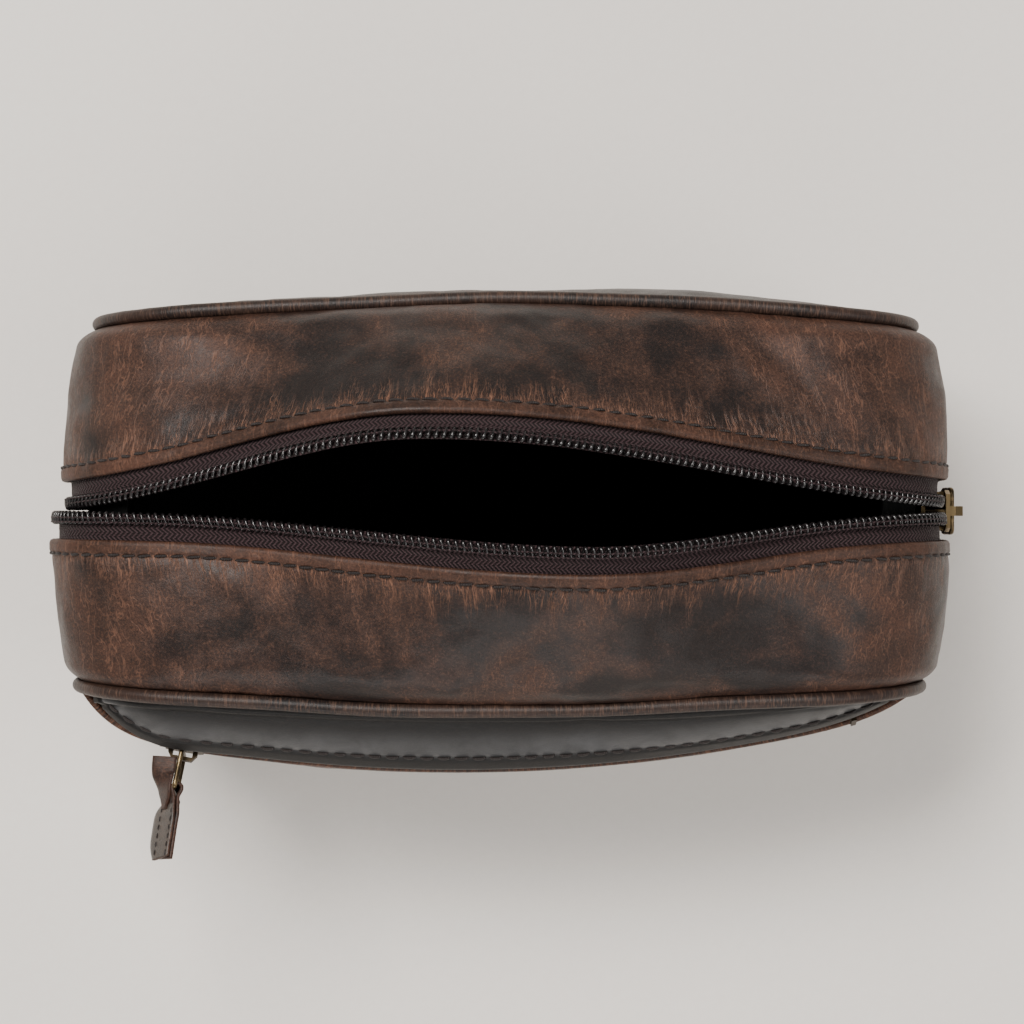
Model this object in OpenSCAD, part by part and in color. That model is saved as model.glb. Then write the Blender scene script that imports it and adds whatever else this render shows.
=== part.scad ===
// Leather wash bag with a box gusset: a zip mouth along the top and over both ends, piped front
// and back panels, and a zipped pocket in the front panel.
// X runs along the mouth, +Y to the back panel, +Z up. The origin is the middle of the base.

/* [Panels] */
// Length of the front and back panels
panel_length = 250; // [236:1:256]
// Height of the panels
panel_height = 140; // [132:1:150]
// Radius of a panel's upper corners
corner_top = 38; // [30:1:42]
// Radius of a panel's lower corners
corner_low = 28; // [22:1:34]
// How far the back seam lies behind the middle, at its ends
seam_back = 54.5; // [50:0.5:58]
// How far the front seam lies before the middle, at its ends
seam_front = 57.5; // [53:0.5:60]
// How far each seam bows outward between its ends
seam_bow = 5.5; // [3:0.5:7]
// How far the back panel swells past its seam
back_swell = 9; // [5:0.5:12]

/* [Gusset] */
// Thickness of the leather
leather = 1.8; // [1.4:0.1:2]
// Distance from the middle to each end of the base gusset
end_reach = 130; // [128:0.5:132]
// Height where the zip strips are sewn to the base gusset on the ends
end_seam = 60; // [52:1:66]
// Radius of the piping
piping_radius = 2.1; // [1.8:0.1:2.3]

/* [Mouth] */
// Distance from the middle to the zip where it runs down an end
zip_reach = 134; // [133:0.5:136]
// Height of the closed zip line over the top
zip_top = 148; // [146:0.5:150]
// Radius of the zip line over each end
zip_corner = 34; // [30:1:36]
// How far the zip line lies before the middle plane
zip_offset = 3.3; // [0:0.1:5]
// How far the back lip stands off the zip line
mouth_back = 20.2; // [12:0.1:24]
// How far the front lip stands off the zip line
mouth_front = 10.2; // [8:0.1:16]
// How far the back lip rises over the closed zip line
rise_back = 42; // [24:1:44]
// How far the front lip rises over the closed zip line
rise_front = 29; // [20:1:34]
// Length of the straight middle of each lip, which swings on its seam
lip_length = 90; // [80:1:100]

/* [Front pocket] */
// Height of the pocket zip
pocket_zip = 119; // [114:1:122]
// How far the pocket zip leans back from upright
pocket_tilt = 17; // [0:1:20]
// How far the pocket zip lies behind the leather's face
pocket_recess = 2.5; // [0:0.1:4]
// Half of the window that the pocket zip shows in
pocket_window = 7; // [6.5:0.5:8]
// Radius of the arc that the pocket zip follows across the front
pocket_arc = 500; // [450:10:700]
// Where along the bag that arc stands out most, left of the middle
pocket_shift = -15; // [-20:1:0]
// How far the pocket zip stands before the middle plane
pocket_depth = 84.3; // [82:0.1:86]
// How far along the front the pocket slider parks from the middle
pocket_park = 100; // [92:1:102]

/* [Zip and pulls] */
// Width of one half of a zip chain
coil_width = 3; // [2.6:0.1:3.2]
// Width of the tape that shows beside the leather, chain included
tape_show = 9.5; // [8:0.5:10]
// Length of the pocket slider
slider_length = 12; // [11:0.5:13]
// Size of the mouth slider and its pull, as a multiple of the pocket's
mouth_size = 1.25; // [1:0.05:1.3]
// Height of the mouth slider on the right end
slider_height = 110; // [106:1:110]
// Length of a pull ring between its two bars
ring_length = 11.5; // [8.5:0.5:12]
// Radius of a pull ring's wire
ring_wire = 0.75; // [0.7:0.05:0.8]
// Width of a leather pull
tab_width = 8; // [7:0.5:8.2]
// Length of a leather pull past its ring
tab_length = 22; // [20:0.5:28]

/* [Hidden] */

$fn = 48;
BACK = 1;
FRONT = -1;
RIGHT = 1;
LEFT = -1;

panel_half = panel_length / 2;
panel_low = 3;
panel_top = panel_low + panel_height;
panel_mid = panel_low + panel_height / 2;
seam_gap = piping_radius + 0.3;      // a sheet starts this far from the piping's middle
layer_gap = 0.2;                     // between one layer and the next
tape_depth = leather + layer_gap;    // depth of the tape's face under the leather's face
tape_thick = 0.7;
coil_proud = 0.6;                    // how far the coils stand over the leather's face
chain_gap = 0.65;                    // from a zip's middle line to each half of its chain
tape_tuck = 6;                       // tape sewn under the leather
lining_thick = 0.7;
edge_power = 24;                     // how square the front panel's swell is along its length
height_power = 5;                    // the same up its height
bow_turn = 16;                       // half of the turn that a zip strip bows through
slider_park = [zip_reach, -zip_offset, slider_height];
pivot_height = 3.5;                  // the pocket pull's pivot over the leather's face
ring_bend = 1;                       // radius of a pull ring's corners, to its wire's middle
lip_gap = 1.2;                       // between a lip and the fixed strip beside it
park_angle = -asin((pocket_park + pocket_shift) / pocket_arc);

dark_leather = [0.17, 0.10, 0.08];
worn_leather = [0.30, 0.17, 0.12];
tape_colour = [0.13, 0.10, 0.11];
coil_colour = [0.06, 0.05, 0.06];
lining_colour = [0.03, 0.03, 0.03];
brass_colour = [0.62, 0.52, 0.32];

// ---- small functions ----

function smooth(t) = let (c = min(1, max(0, t))) c * c * (3 - 2 * c);
function unit(v) = v / norm(v);
function clamp_at(list, i) = list[min(len(list) - 1, max(0, i))];
function mix(a, b, t) = a + (b - a) * t;

// ---- surfaces: grids of points, as rows of stations across the piece ----

function corner_cut(radius, past) = radius - sqrt(max(0, radius * radius - past * past));

// Half of a panel's length at height z, with its outline drawn in by inset
function panel_reach(z, inset) =
    let (over = z - (panel_top - corner_top), under = (panel_low + corner_low) - z)
    panel_half - inset
    - (over > 0 ? corner_cut(corner_top - inset, over) : 0)
    - (under > 0 ? corner_cut(corner_low - inset, under) : 0);

// Where a seam lies, front (negative) or back
function seam_y(side, x) =
    side * ((side > 0 ? seam_back : seam_front) + seam_bow * (1 - pow(x / panel_half, 2)));

function height_share(z) = 1 - pow(abs(z - panel_mid) / (panel_height / 2), height_power);

function length_share(x, z, power) = 1 - pow(min(1, abs(x) / panel_reach(z, 0)), power);

// The front panel's swell follows the pocket zip's arc and falls to the seam at the outline
function front_y(x, z) =
    let (arc = pocket_depth - pocket_arc + sqrt(pocket_arc * pocket_arc - pow(x - pocket_shift, 2)),
        seam = -seam_y(FRONT, x))
    -seam - (arc - seam) * length_share(x, z, edge_power) * height_share(z) / height_share(pocket_zip);

function back_y(x, z) = seam_y(BACK, x) + back_swell * length_share(x, z, 4) * height_share(z);

function panel_grid(side, low, high, inset, columns, rows) =
    [for (j = [0:rows]) let (z = mix(low, high, j / rows), reach = panel_reach(z, inset))
        [for (i = [0:columns]) let (x = reach * sin(90 * (2 * i / columns - 1)))
            [x, side > 0 ? back_y(x, z) : front_y(x, z), z]]];

// Stations along a zip strip, from the end seam over the corner to the lip. Each holds the
// piping's point, the zip edge's point, both in X and Z, and the outward direction.
function strip_stations() =
    let (p_mid = [panel_half - corner_top, panel_top - corner_top],
        e_mid = [zip_reach - zip_corner, zip_top - zip_corner],
        lip = lip_length / 2 + lip_gap)
    concat(
        [for (t = [0:0.25:0.75]) [[panel_half, mix(end_seam, p_mid[1], t)],
            [zip_reach, mix(end_seam, e_mid[1], t)], [1, 0]]],
        [for (a = [0:10:90]) [p_mid + corner_top * [cos(a), sin(a)],
            e_mid + zip_corner * [cos(a), sin(a)], [cos(a), sin(a)]]],
        [for (t = [0.2:0.2:1]) [[mix(p_mid[0], lip, t), panel_top],
            [mix(e_mid[0], lip, t), zip_top], [0, 1]]]);

function mouth(side) = side > 0 ? mouth_back : mouth_front;
function rise(side) = side > 0 ? rise_back : rise_front;

// The curve across a strip at one station: a chord from the piping to the zip edge, bowed outward
function strip_ends(side, end, station) =
    let (p = station[0], e = station[1], out = station[2],
        open = out[1] == 0 ? 0 : smooth((zip_reach - e[0]) / (zip_reach - lip_length / 2)),
        up = out[1] == 0 ? 0 : smooth((118 - e[0]) / (118 - lip_length / 2)))
    [[end * p[0], seam_y(side, p[0]), p[1]],
        [end * e[0], -zip_offset + side * (chain_gap + mouth(side) * open), e[1] + rise(side) * up],
        [end * out[0], 0, out[1]]];

function strip_point(ends, u) =
    let (p = ends[0], e = ends[1], chord = e - p, along = unit(chord),
        lift = ends[2] - (ends[2] * along) * along,
        bow = norm(chord) / 2 * tan(bow_turn / 2))
    p + chord * u + unit(lift) * 4 * bow * u * (1 - u);

function strip_length(ends) = 1.013 * norm(ends[1] - ends[0]);

// A grid across a strip between two distances, each measured back from the zip edge or, where
// it is negative, onward from the piping
function strip_share(length, distance) = distance < 0 ? -distance / length : 1 - distance / length;
function strip_grid(side, end, from, to, columns) =
    [for (station = strip_stations())
        let (ends = strip_ends(side, end, station), length = strip_length(ends))
        [for (i = [0:columns]) strip_point(ends,
            mix(strip_share(length, from), strip_share(length, to), i / columns))]];

// ---- solids made from grids ----

// Unit normal of a grid at row j and column i
function grid_normal(grid, j, i) =
    let (a = clamp_at(grid, j + 1)[i] - clamp_at(grid, j - 1)[i],
        b = clamp_at(grid[j], i + 1) - clamp_at(grid[j], i - 1))
    unit(cross(a, b));

function sunk(grid, depth, turn) =
    [for (j = [0:len(grid) - 1]) for (i = [0:len(grid[0]) - 1])
        grid[j][i] + turn * depth * grid_normal(grid, j, i)];

function quad(a, b, c, d) = [[a, b, c], [a, c, d]];

// A closed sheet between two depths under a grid. turn is 1 or -1, so that depth runs inward.
module sheet(grid, from, to, turn) {
    rows = len(grid);
    cols = len(grid[0]);
    count = rows * cols;
    function at(j, i) = j * cols + i;
    top = [for (j = [0:rows - 2]) for (i = [0:cols - 2])
        each quad(at(j, i), at(j + 1, i), at(j + 1, i + 1), at(j, i + 1))];
    low = [for (f = top) [f[2] + count, f[1] + count, f[0] + count]];
    rim = concat(
        [for (i = [0:cols - 2]) each quad(at(0, i), at(0, i + 1), at(0, i + 1) + count, at(0, i) + count)],
        [for (i = [0:cols - 2]) each quad(at(rows - 1, i + 1), at(rows - 1, i),
            at(rows - 1, i) + count, at(rows - 1, i + 1) + count)],
        [for (j = [0:rows - 2]) each quad(at(j + 1, 0), at(j, 0), at(j, 0) + count, at(j + 1, 0) + count)],
        [for (j = [0:rows - 2]) each quad(at(j, cols - 1), at(j + 1, cols - 1),
            at(j + 1, cols - 1) + count, at(j, cols - 1) + count)]);
    faces = concat(top, low, rim);
    polyhedron(points = concat(sunk(grid, from, turn), sunk(grid, to, turn)),
        faces = turn > 0 ? faces : [for (f = faces) [f[2], f[1], f[0]]]);
}

// ---- piping: a closed tube round a panel's outline ----

function outline(side) =
    let (low = panel_low + corner_low, high = panel_top - corner_top,
        xl = panel_half - corner_low, xh = panel_half - corner_top)
    [for (p = concat(
        [for (a = [0:11.25:90]) [xh + corner_top * cos(a), high + corner_top * sin(a)]],
        [for (t = [0.1:0.1:0.9]) [mix(xh, -xh, t), panel_top]],
        [for (a = [90:11.25:180]) [-xh + corner_top * cos(a), high + corner_top * sin(a)]],
        [for (t = [0.25:0.25:0.75]) [-panel_half, mix(high, low, t)]],
        [for (a = [180:15:270]) [-xl + corner_low * cos(a), low + corner_low * sin(a)]],
        [for (t = [0.1:0.1:0.9]) [mix(-xl, xl, t), panel_low]],
        [for (a = [270:15:360]) [xl + corner_low * cos(a), low + corner_low * sin(a)]],
        [for (t = [0.25:0.25:0.75]) [panel_half, mix(low, high, t)]]))
        [p[0], seam_y(side, p[0]), p[1]]];

// A closed loop with one section all the way round, given as points outward from the panel and
// toward +Y
module loop(path, section) {
    n = len(path);
    sides = len(section);
    points = [for (k = [0:n - 1])
        let (run = unit(path[(k + 1) % n] - path[(k + n - 1) % n]),
            across = unit(cross(run, [0, 1, 0])), other = cross(run, across))
        for (p = section) path[k] - across * p[0] - other * p[1]];
    polyhedron(points = points, faces = [for (k = [0:n - 1]) for (s = [0:sides - 1])
        let (a = k * sides, b = ((k + 1) % n) * sides, t = (s + 1) % sides)
        each quad(a + s, b + s, b + t, a + t)]);
}

// The wrap is folded round its cord and open toward the seam
function wrap_section(side) = let (inner = piping_radius - 0.8)
    [for (p = concat([for (a = [-150:37.5:150]) piping_radius * [cos(a), sin(a)]],
        [for (a = [150:-37.5:-150]) inner * [cos(a), sin(a)]]))
        let (turn = side * -45) [p[0] * cos(turn) - p[1] * sin(turn), p[0] * sin(turn) + p[1] * cos(turn)]];

module piping(side) color(dark_leather) loop(outline(side), wrap_section(side));

module piping_cord(side) color([0.8, 0.78, 0.7])
    loop(outline(side), [for (a = [0:60:300]) (piping_radius - 1.1) * [cos(a), sin(a)]]);

// ---- leather panels ----

module back_panel() color(dark_leather)
    sheet(panel_grid(BACK, panel_low + seam_gap, panel_top - seam_gap, seam_gap, 20, 14), 0, leather, -1);

module front_upper_panel() color(dark_leather)
    sheet(panel_grid(FRONT, pocket_zip + pocket_window, panel_top - seam_gap, seam_gap, 20, 5),
        0, leather, 1);

module pocket_panel() color(dark_leather)
    sheet(panel_grid(FRONT, panel_low + seam_gap, pocket_zip - pocket_window, seam_gap, 20, 10),
        0, leather, 1);

// ---- base gusset and its lining: a channel bent up at both ends ----

// The channel seen from the front, sunk by depth
module channel_outline(depth) {
    radius = corner_low + 2 - depth;
    intersection() {
        union() {
            translate([-end_reach + depth, corner_low + 2]) square([2 * (end_reach - depth), end_seam]);
            translate([-end_reach + corner_low + 2, depth])
                square([2 * (end_reach - corner_low - 2), end_seam]);
            for (side = [-1, 1])
                translate([side * (end_reach - corner_low - 2), corner_low + 2]) circle(radius, $fn = 96);
        }
        translate([-end_reach, 0]) square([2 * end_reach, end_seam - 0.3]);
    }
}

// The plan between the two bowed seams, drawn in by inset
module seam_plan(inset) {
    bow_radius = (panel_half * panel_half + seam_bow * seam_bow) / (2 * seam_bow);
    intersection() {
        translate([0, seam_back + seam_bow - inset - bow_radius]) circle(bow_radius, $fn = 360);
        translate([0, bow_radius - seam_front - seam_bow + inset]) circle(bow_radius, $fn = 360);
        square([2 * end_reach + 2, 200], center = true);
    }
}

module channel(depth, thick, inset) intersection() {
    translate([0, 100, 0]) rotate([90, 0, 0]) linear_extrude(200) difference() {
        channel_outline(depth);
        translate([0, 0.001]) channel_outline(depth + thick);
    }
    translate([0, 0, -1]) linear_extrude(end_seam + 2) seam_plan(inset);
}

module base_gusset() color(dark_leather) channel(0, leather, seam_gap);
module base_lining() color(lining_colour) channel(leather + 0.3, lining_thick, seam_gap + 4);

// ---- zip strips, tapes and coils at the two ends of the mouth ----

module end_strip(side, end) color(worn_leather)
    sheet(strip_grid(side, end, -seam_gap, tape_show, 7), 0, leather, -side * end);

module end_tape(side, end) color(tape_colour)
    sheet(strip_grid(side, end, tape_show + tape_tuck, 0, 4),
        tape_depth, tape_depth + tape_thick, -side * end);

module end_coil(side, end) color(coil_colour)
    sheet(strip_grid(side, end, coil_width, 0, 1), -coil_proud, tape_depth - 0.1, -side * end);

// ---- lips: the straight middle of each strip, bent to one arc ----

// Middle, radius and end angles of the arc that a lip's face follows, in Y and Z
function lip_arc(side) =
    let (p = [abs(seam_y(side, 0)), panel_top],
        e = [mouth(side) + chain_gap - side * zip_offset, zip_top + rise(side)],
        chord = norm(e - p), climb = asin((e[1] - p[1]) / chord),
        radius = chord / 2 / sin(bow_turn),
        middle = (p + e) / 2 - [sin(climb), cos(climb)] * radius * cos(bow_turn))
    [middle, radius, atan2(p[1] - middle[1], p[0] - middle[0]),
        atan2(e[1] - middle[1], e[0] - middle[0])];

module arc_band(middle, outer, inner, from, to) translate(middle) intersection() {
    difference() {
        circle(outer, $fn = 180);
        circle(inner, $fn = 180);
    }
    polygon(concat([[0, 0]], [for (t = [0:0.25:1]) let (a = mix(from, to, t)) 2 * outer * [cos(a), sin(a)]]));
}

// A layer of a lip between two distances back from the zip edge (from the piping if negative)
module lip_layer(side, from, to, top, low) {
    arc = lip_arc(side);
    radius = arc[1];
    function angle(distance) = distance < 0
        ? arc[2] - distance / radius * 180 / PI
        : arc[3] - distance / radius * 180 / PI;
    rotate([90, 0, 90]) linear_extrude(lip_length, center = true)
        scale([side, 1]) arc_band(arc[0], radius - top, radius - low, angle(from), angle(to));
}

module lip_strip(side) color(worn_leather) lip_layer(side, -seam_gap - 1, tape_show, 0, leather);
module lip_tape(side) color(tape_colour)
    lip_layer(side, tape_show + tape_tuck, 0, tape_depth, tape_depth + tape_thick);
module lip_coil(side) color(coil_colour) lip_layer(side, coil_width, 0, -coil_proud, tape_depth - 0.1);

// ---- stops of the mouth zip ----

module mouth_bottom_stop() color(brass_colour)
    translate([zip_reach + 1.5, -zip_offset, end_seam + 3]) cube([0.6, 4.4, 2.4], center = true);

module mouth_top_stops() color(brass_colour) for (side = [FRONT, BACK])
    translate([-zip_reach - 1.9, -zip_offset + side * 2.4, end_seam + 3]) cube([0.6, 2.8, 2.4], center = true);

// ---- slider: chain along X with the open end at +X, outward is +Z, leather face at Z = 0 ----

module slider_plate() linear_extrude(1.1) polygon([[-6, -3.6], [-4.6, -4.9], [3.5, -5.2], [6, -4.2],
    [6, 4.2], [3.5, 5.2], [-4.6, 4.9], [-6, 3.6]] * slider_length / 12);

module slider_body() {
    half = slider_length / 2;
    translate([0, 0, 1.2]) slider_plate();
    translate([0, 0, -5]) slider_plate();
    translate([half - 3, -0.35, -4.2]) cube([2.4, 0.7, 5.6]);
    for (side = [-1, 1]) translate([-half + 1.4, side * 4.35 - 0.45, -1]) cube([slider_length - 4, 0.9, 2.4]);
}

module slider_bail() translate([0, 1.2, 0]) rotate([90, 0, 0]) linear_extrude(2.4) difference() {
    polygon([[-4.5, 2.3], [-4.5, 3.9], [-3, 5.9], [3, 5.9], [4.5, 3.9], [4.5, 2.3]]);
    translate([-3.1, 2.2]) square([6.2, 2.5]);
}

// ---- pull: pivot bar along Y through the origin, ring and tab towards +X ----

module pull_ring() {
    half = tab_width / 2 + 0.2;
    for (x = [0, ring_length]) translate([x, half, 0]) rotate([90, 0, 0])
        cylinder(r = ring_wire, h = 2 * half);
    for (side = [-1, 1]) {
        translate([ring_bend, side * (half + ring_bend), 0]) rotate([0, 90, 0])
            cylinder(r = ring_wire, h = ring_length - 2 * ring_bend);
        for (last = [0, 1]) translate([last ? ring_length - ring_bend : ring_bend, side * half, 0])
            rotate([0, 0, last ? (side > 0 ? 0 : -90) : (side > 0 ? 90 : 180)])
                rotate_extrude(angle = 90) translate([ring_bend, 0]) circle(ring_wire);
    }
}

module pull_tab() translate([ring_length, tab_width / 2, 0]) rotate([90, 0, 0]) linear_extrude(tab_width)
    difference() {
        polygon(concat([for (a = [70:20:290]) 2.25 * [cos(a), sin(a)]],
            [[5, -1.4], [tab_length, -1.4], [tab_length, 1.4], [5, 1.4]]));
        circle(ring_wire + 0.08);
    }

// ---- places of the two sliders and their pulls ----

module at_mouth_slider() multmatrix([[0, 0, 1, slider_park[0]], [0, -1, 0, slider_park[1]],
    [1, 0, 0, slider_park[2]]]) scale(mouth_size) children();

// The frame of the pocket zip's face at an angle along its arc: X along it, outward is -Y
module at_pocket_arc(angle) translate([pocket_shift, pocket_arc - pocket_depth, pocket_zip])
    rotate([0, 0, angle]) translate([0, -pocket_arc, 0]) rotate([-pocket_tilt, 0, 0])
        translate([0, pocket_recess, 0]) children();

module at_pocket_slider() at_pocket_arc(park_angle)
    multmatrix([[-1, 0, 0, 0], [0, 0, -1, 0], [0, -1, 0, 0]]) children();

// The mouth's pull hangs down along its chain; the pocket's stands out from the front
module mouth_pull() at_mouth_slider() translate([0, 0, pivot_height]) rotate([0, 0, 180]) children();
module pocket_pull() at_pocket_slider() translate([0, 0, pivot_height]) rotate([0, -90, 0]) children();

// ---- pocket zip ----

module pocket_chain(low, high, from, to) {
    reach = pocket_park + slider_length - 3;
    left = asin((reach + pocket_shift) / pocket_arc);
    right = asin((reach - pocket_shift) / pocket_arc);
    translate([pocket_shift, pocket_arc - pocket_depth, pocket_zip]) rotate([0, 0, -90 - left])
        rotate_extrude(angle = left + right, $fn = 720)
            translate([pocket_arc, 0]) rotate(pocket_tilt) translate([-to - pocket_recess, low])
                square([to - from, high - low]);
}

module pocket_coil(side) color(coil_colour)
    pocket_chain(side > 0 ? chain_gap : -chain_gap - coil_width,
        side > 0 ? chain_gap + coil_width : -chain_gap, -coil_proud, tape_depth - 0.1);

module pocket_tape(side) color(tape_colour)
    sheet(panel_grid(FRONT, pocket_zip + (side > 0 ? chain_gap + 0.45 : -pocket_window - tape_tuck + 2),
        pocket_zip + (side > 0 ? pocket_window + tape_tuck - 2 : -chain_gap - 0.45), 6, 20, 3),
        tape_depth + pocket_recess + 0.2, tape_depth + pocket_recess + tape_thick, 1);

module pocket_stops() color(brass_colour) for (end = [LEFT, RIGHT])
    at_pocket_arc(asin((end * (pocket_park + slider_length - 5) - pocket_shift) / pocket_arc))
        translate([0, -1.35, 0]) cube([1.6, 1.4, 7.4], center = true);

// ---- linings ----

module back_lining() color(lining_colour)
    sheet(panel_grid(BACK, panel_low + 8, panel_top - 8, 8, 12, 10), leather + 0.8,
        leather + 0.8 + lining_thick, -1);

// A sheet hung straight inside the front seam, between two depths behind it
module hung_sheet(low, high, inset, from) color(lining_colour) {
    grid = [for (row = panel_grid(FRONT, low, high, inset, 12, 8))
        [for (p = row) [p[0], seam_y(FRONT, p[0]), p[2]]]];
    sheet(grid, from, from + lining_thick, 1);
}

module front_lining() hung_sheet(panel_low + 5, panel_top - 5, 5, 1.5);
module pocket_lining() hung_sheet(panel_low + 14, pocket_zip + 8, 12, 0.4);

// ---- nodes ----

base_gusset();
back_panel();
front_upper_panel();
pocket_panel();
piping(BACK);  // back_piping
piping(FRONT);  // front_piping
piping_cord(BACK);  // back_piping_cord
piping_cord(FRONT);  // front_piping_cord
end_strip(BACK, LEFT);  // back_strip_left
end_strip(BACK, RIGHT);  // back_strip_right
end_strip(FRONT, LEFT);  // front_strip_left
end_strip(FRONT, RIGHT);  // front_strip_right
end_tape(BACK, LEFT);  // back_tape_left
end_tape(BACK, RIGHT);  // back_tape_right
end_tape(FRONT, LEFT);  // front_tape_left
end_tape(FRONT, RIGHT);  // front_tape_right
end_coil(BACK, LEFT);  // back_coil_left
end_coil(BACK, RIGHT);  // back_coil_right
end_coil(FRONT, LEFT);  // front_coil_left
end_coil(FRONT, RIGHT);  // front_coil_right
lip_strip(BACK);  // back_lip_strip
lip_tape(BACK);  // back_lip_tape
lip_coil(BACK);  // back_lip_coil
lip_strip(FRONT);  // front_lip_strip
lip_tape(FRONT);  // front_lip_tape
lip_coil(FRONT);  // front_lip_coil
mouth_bottom_stop();
mouth_top_stops();
color(brass_colour) at_mouth_slider() slider_body();  // mouth_slider_body
color(brass_colour) at_mouth_slider() slider_bail();  // mouth_slider_bail
color(brass_colour) mouth_pull() pull_ring();  // mouth_pull_ring
color(worn_leather) mouth_pull() pull_tab();  // mouth_pull_tab
pocket_tape(1);  // pocket_tape_upper
pocket_tape(-1);  // pocket_tape_lower
pocket_coil(1);  // pocket_coil_upper
pocket_coil(-1);  // pocket_coil_lower
pocket_stops();
color(brass_colour) at_pocket_slider() slider_body();  // pocket_slider_body
color(brass_colour) at_pocket_slider() slider_bail();  // pocket_slider_bail
color(brass_colour) pocket_pull() pull_ring();  // pocket_pull_ring
color(worn_leather) pocket_pull() pull_tab();  // pocket_pull_tab
base_lining();
back_lining();
front_lining();
pocket_lining();
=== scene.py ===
"""Looks for a dark leather wash bag with its zip mouth open. Lengths inside the makers are in millimetres."""
import math

import bpy
import numpy as np
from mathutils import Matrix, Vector


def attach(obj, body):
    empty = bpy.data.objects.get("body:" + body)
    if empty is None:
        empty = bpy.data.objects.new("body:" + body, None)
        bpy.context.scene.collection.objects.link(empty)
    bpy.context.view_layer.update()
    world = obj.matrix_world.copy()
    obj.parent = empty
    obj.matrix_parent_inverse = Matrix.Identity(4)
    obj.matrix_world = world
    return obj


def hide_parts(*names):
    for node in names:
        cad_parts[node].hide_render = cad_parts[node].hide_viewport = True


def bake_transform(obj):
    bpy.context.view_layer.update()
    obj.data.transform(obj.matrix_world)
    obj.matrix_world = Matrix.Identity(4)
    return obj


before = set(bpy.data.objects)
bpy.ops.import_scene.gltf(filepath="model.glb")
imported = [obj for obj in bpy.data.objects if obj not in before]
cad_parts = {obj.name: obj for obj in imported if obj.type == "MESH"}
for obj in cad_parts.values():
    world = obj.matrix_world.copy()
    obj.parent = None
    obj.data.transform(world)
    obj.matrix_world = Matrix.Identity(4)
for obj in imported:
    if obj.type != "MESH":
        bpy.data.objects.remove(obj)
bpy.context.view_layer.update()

FRONT, BACK = -1, 1
LEFT, RIGHT = -1, 1

# ---------------------------------------------------------------- camera, floor and light

CAMERA_HEIGHT = 0.942
camera = bpy.data.objects.new("camera", bpy.data.cameras.new("camera"))
camera.data.lens = 93.75
camera.data.sensor_width = 36
camera.location = (0.00135, -0.0036, CAMERA_HEIGHT)
bpy.context.collection.objects.link(camera)
bpy.context.scene.camera = camera


def soft_light(name, place, aim, size, watts, colour=(1, 1, 1)):
    lamp = bpy.data.objects.new(name, bpy.data.lights.new(name, "AREA"))
    lamp.data.shape = "RECTANGLE"
    lamp.data.size, lamp.data.size_y = size
    lamp.data.energy = watts
    lamp.data.color = colour
    lamp.location = place
    lamp.rotation_euler = Vector(np.subtract(aim, place)).to_track_quat("-Z", "Y").to_euler()
    bpy.context.collection.objects.link(lamp)


soft_light("key", (-0.35, 0.5, 1.35), (0, 0, 0.1), (0.6, 0.45), 26, (1.0, 0.965, 0.925))
soft_light("fill", (0.95, -0.3, 1.2), (0, 0, 0.1), (0.8, 0.8), 8, (1.0, 0.975, 0.95))
soft_light("front", (-0.15, -1.05, 0.62), (0, -0.06, 0.1), (1.3, 0.3), 6.5, (1.0, 0.97, 0.94))

world = bpy.data.worlds.new("studio")
world.use_nodes = True
world.node_tree.nodes["Background"].inputs[0].default_value = (0.95, 0.93, 0.91, 1)
world.node_tree.nodes["Background"].inputs[1].default_value = 0.26
bpy.context.scene.world = world


# ---------------------------------------------------------------- numbers and noise

def smooth(t):
    t = np.clip(t, 0, 1)
    return t * t * (3 - 2 * t)


def ramp(a, b, x):
    return smooth((x - a) / (b - a))


def hill(x, middle, width):
    return np.exp(-((x - middle) / width) ** 2)


def unit(v):
    return v / np.maximum(np.linalg.norm(v, axis=-1, keepdims=True), 1e-9)


def dot(a, b):
    return np.sum(a * b, axis=-1, keepdims=True)


def rough(p, scale, seed=0):
    """Smooth noise from -1 to 1 at points p, with features scale across."""
    q = p / scale + seed * 17.31
    cell = np.floor(q).astype(np.int64)
    f = q - cell
    f = f * f * (3 - 2 * f)
    total = 0
    for corner in np.ndindex(2, 2, 2):
        c = cell + np.array(corner)
        h = (c[..., 0] * 73856093) ^ (c[..., 1] * 19349663) ^ (c[..., 2] * 83492791)
        h = (h ^ (h >> 13)) * 1274126177 & 0xFFFFFFFF
        value = (h ^ (h >> 16)) / 2**31 - 1
        total = total + value * np.prod(np.where(np.array(corner) == 1, f, 1 - f), axis=-1)
    return total


def cloud(p, scale, seed=0, octaves=3):
    return sum(rough(p, scale / 2**k, seed + 5 * k) * 0.55**k for k in range(octaves))


# ---------------------------------------------------------------- materials

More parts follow.
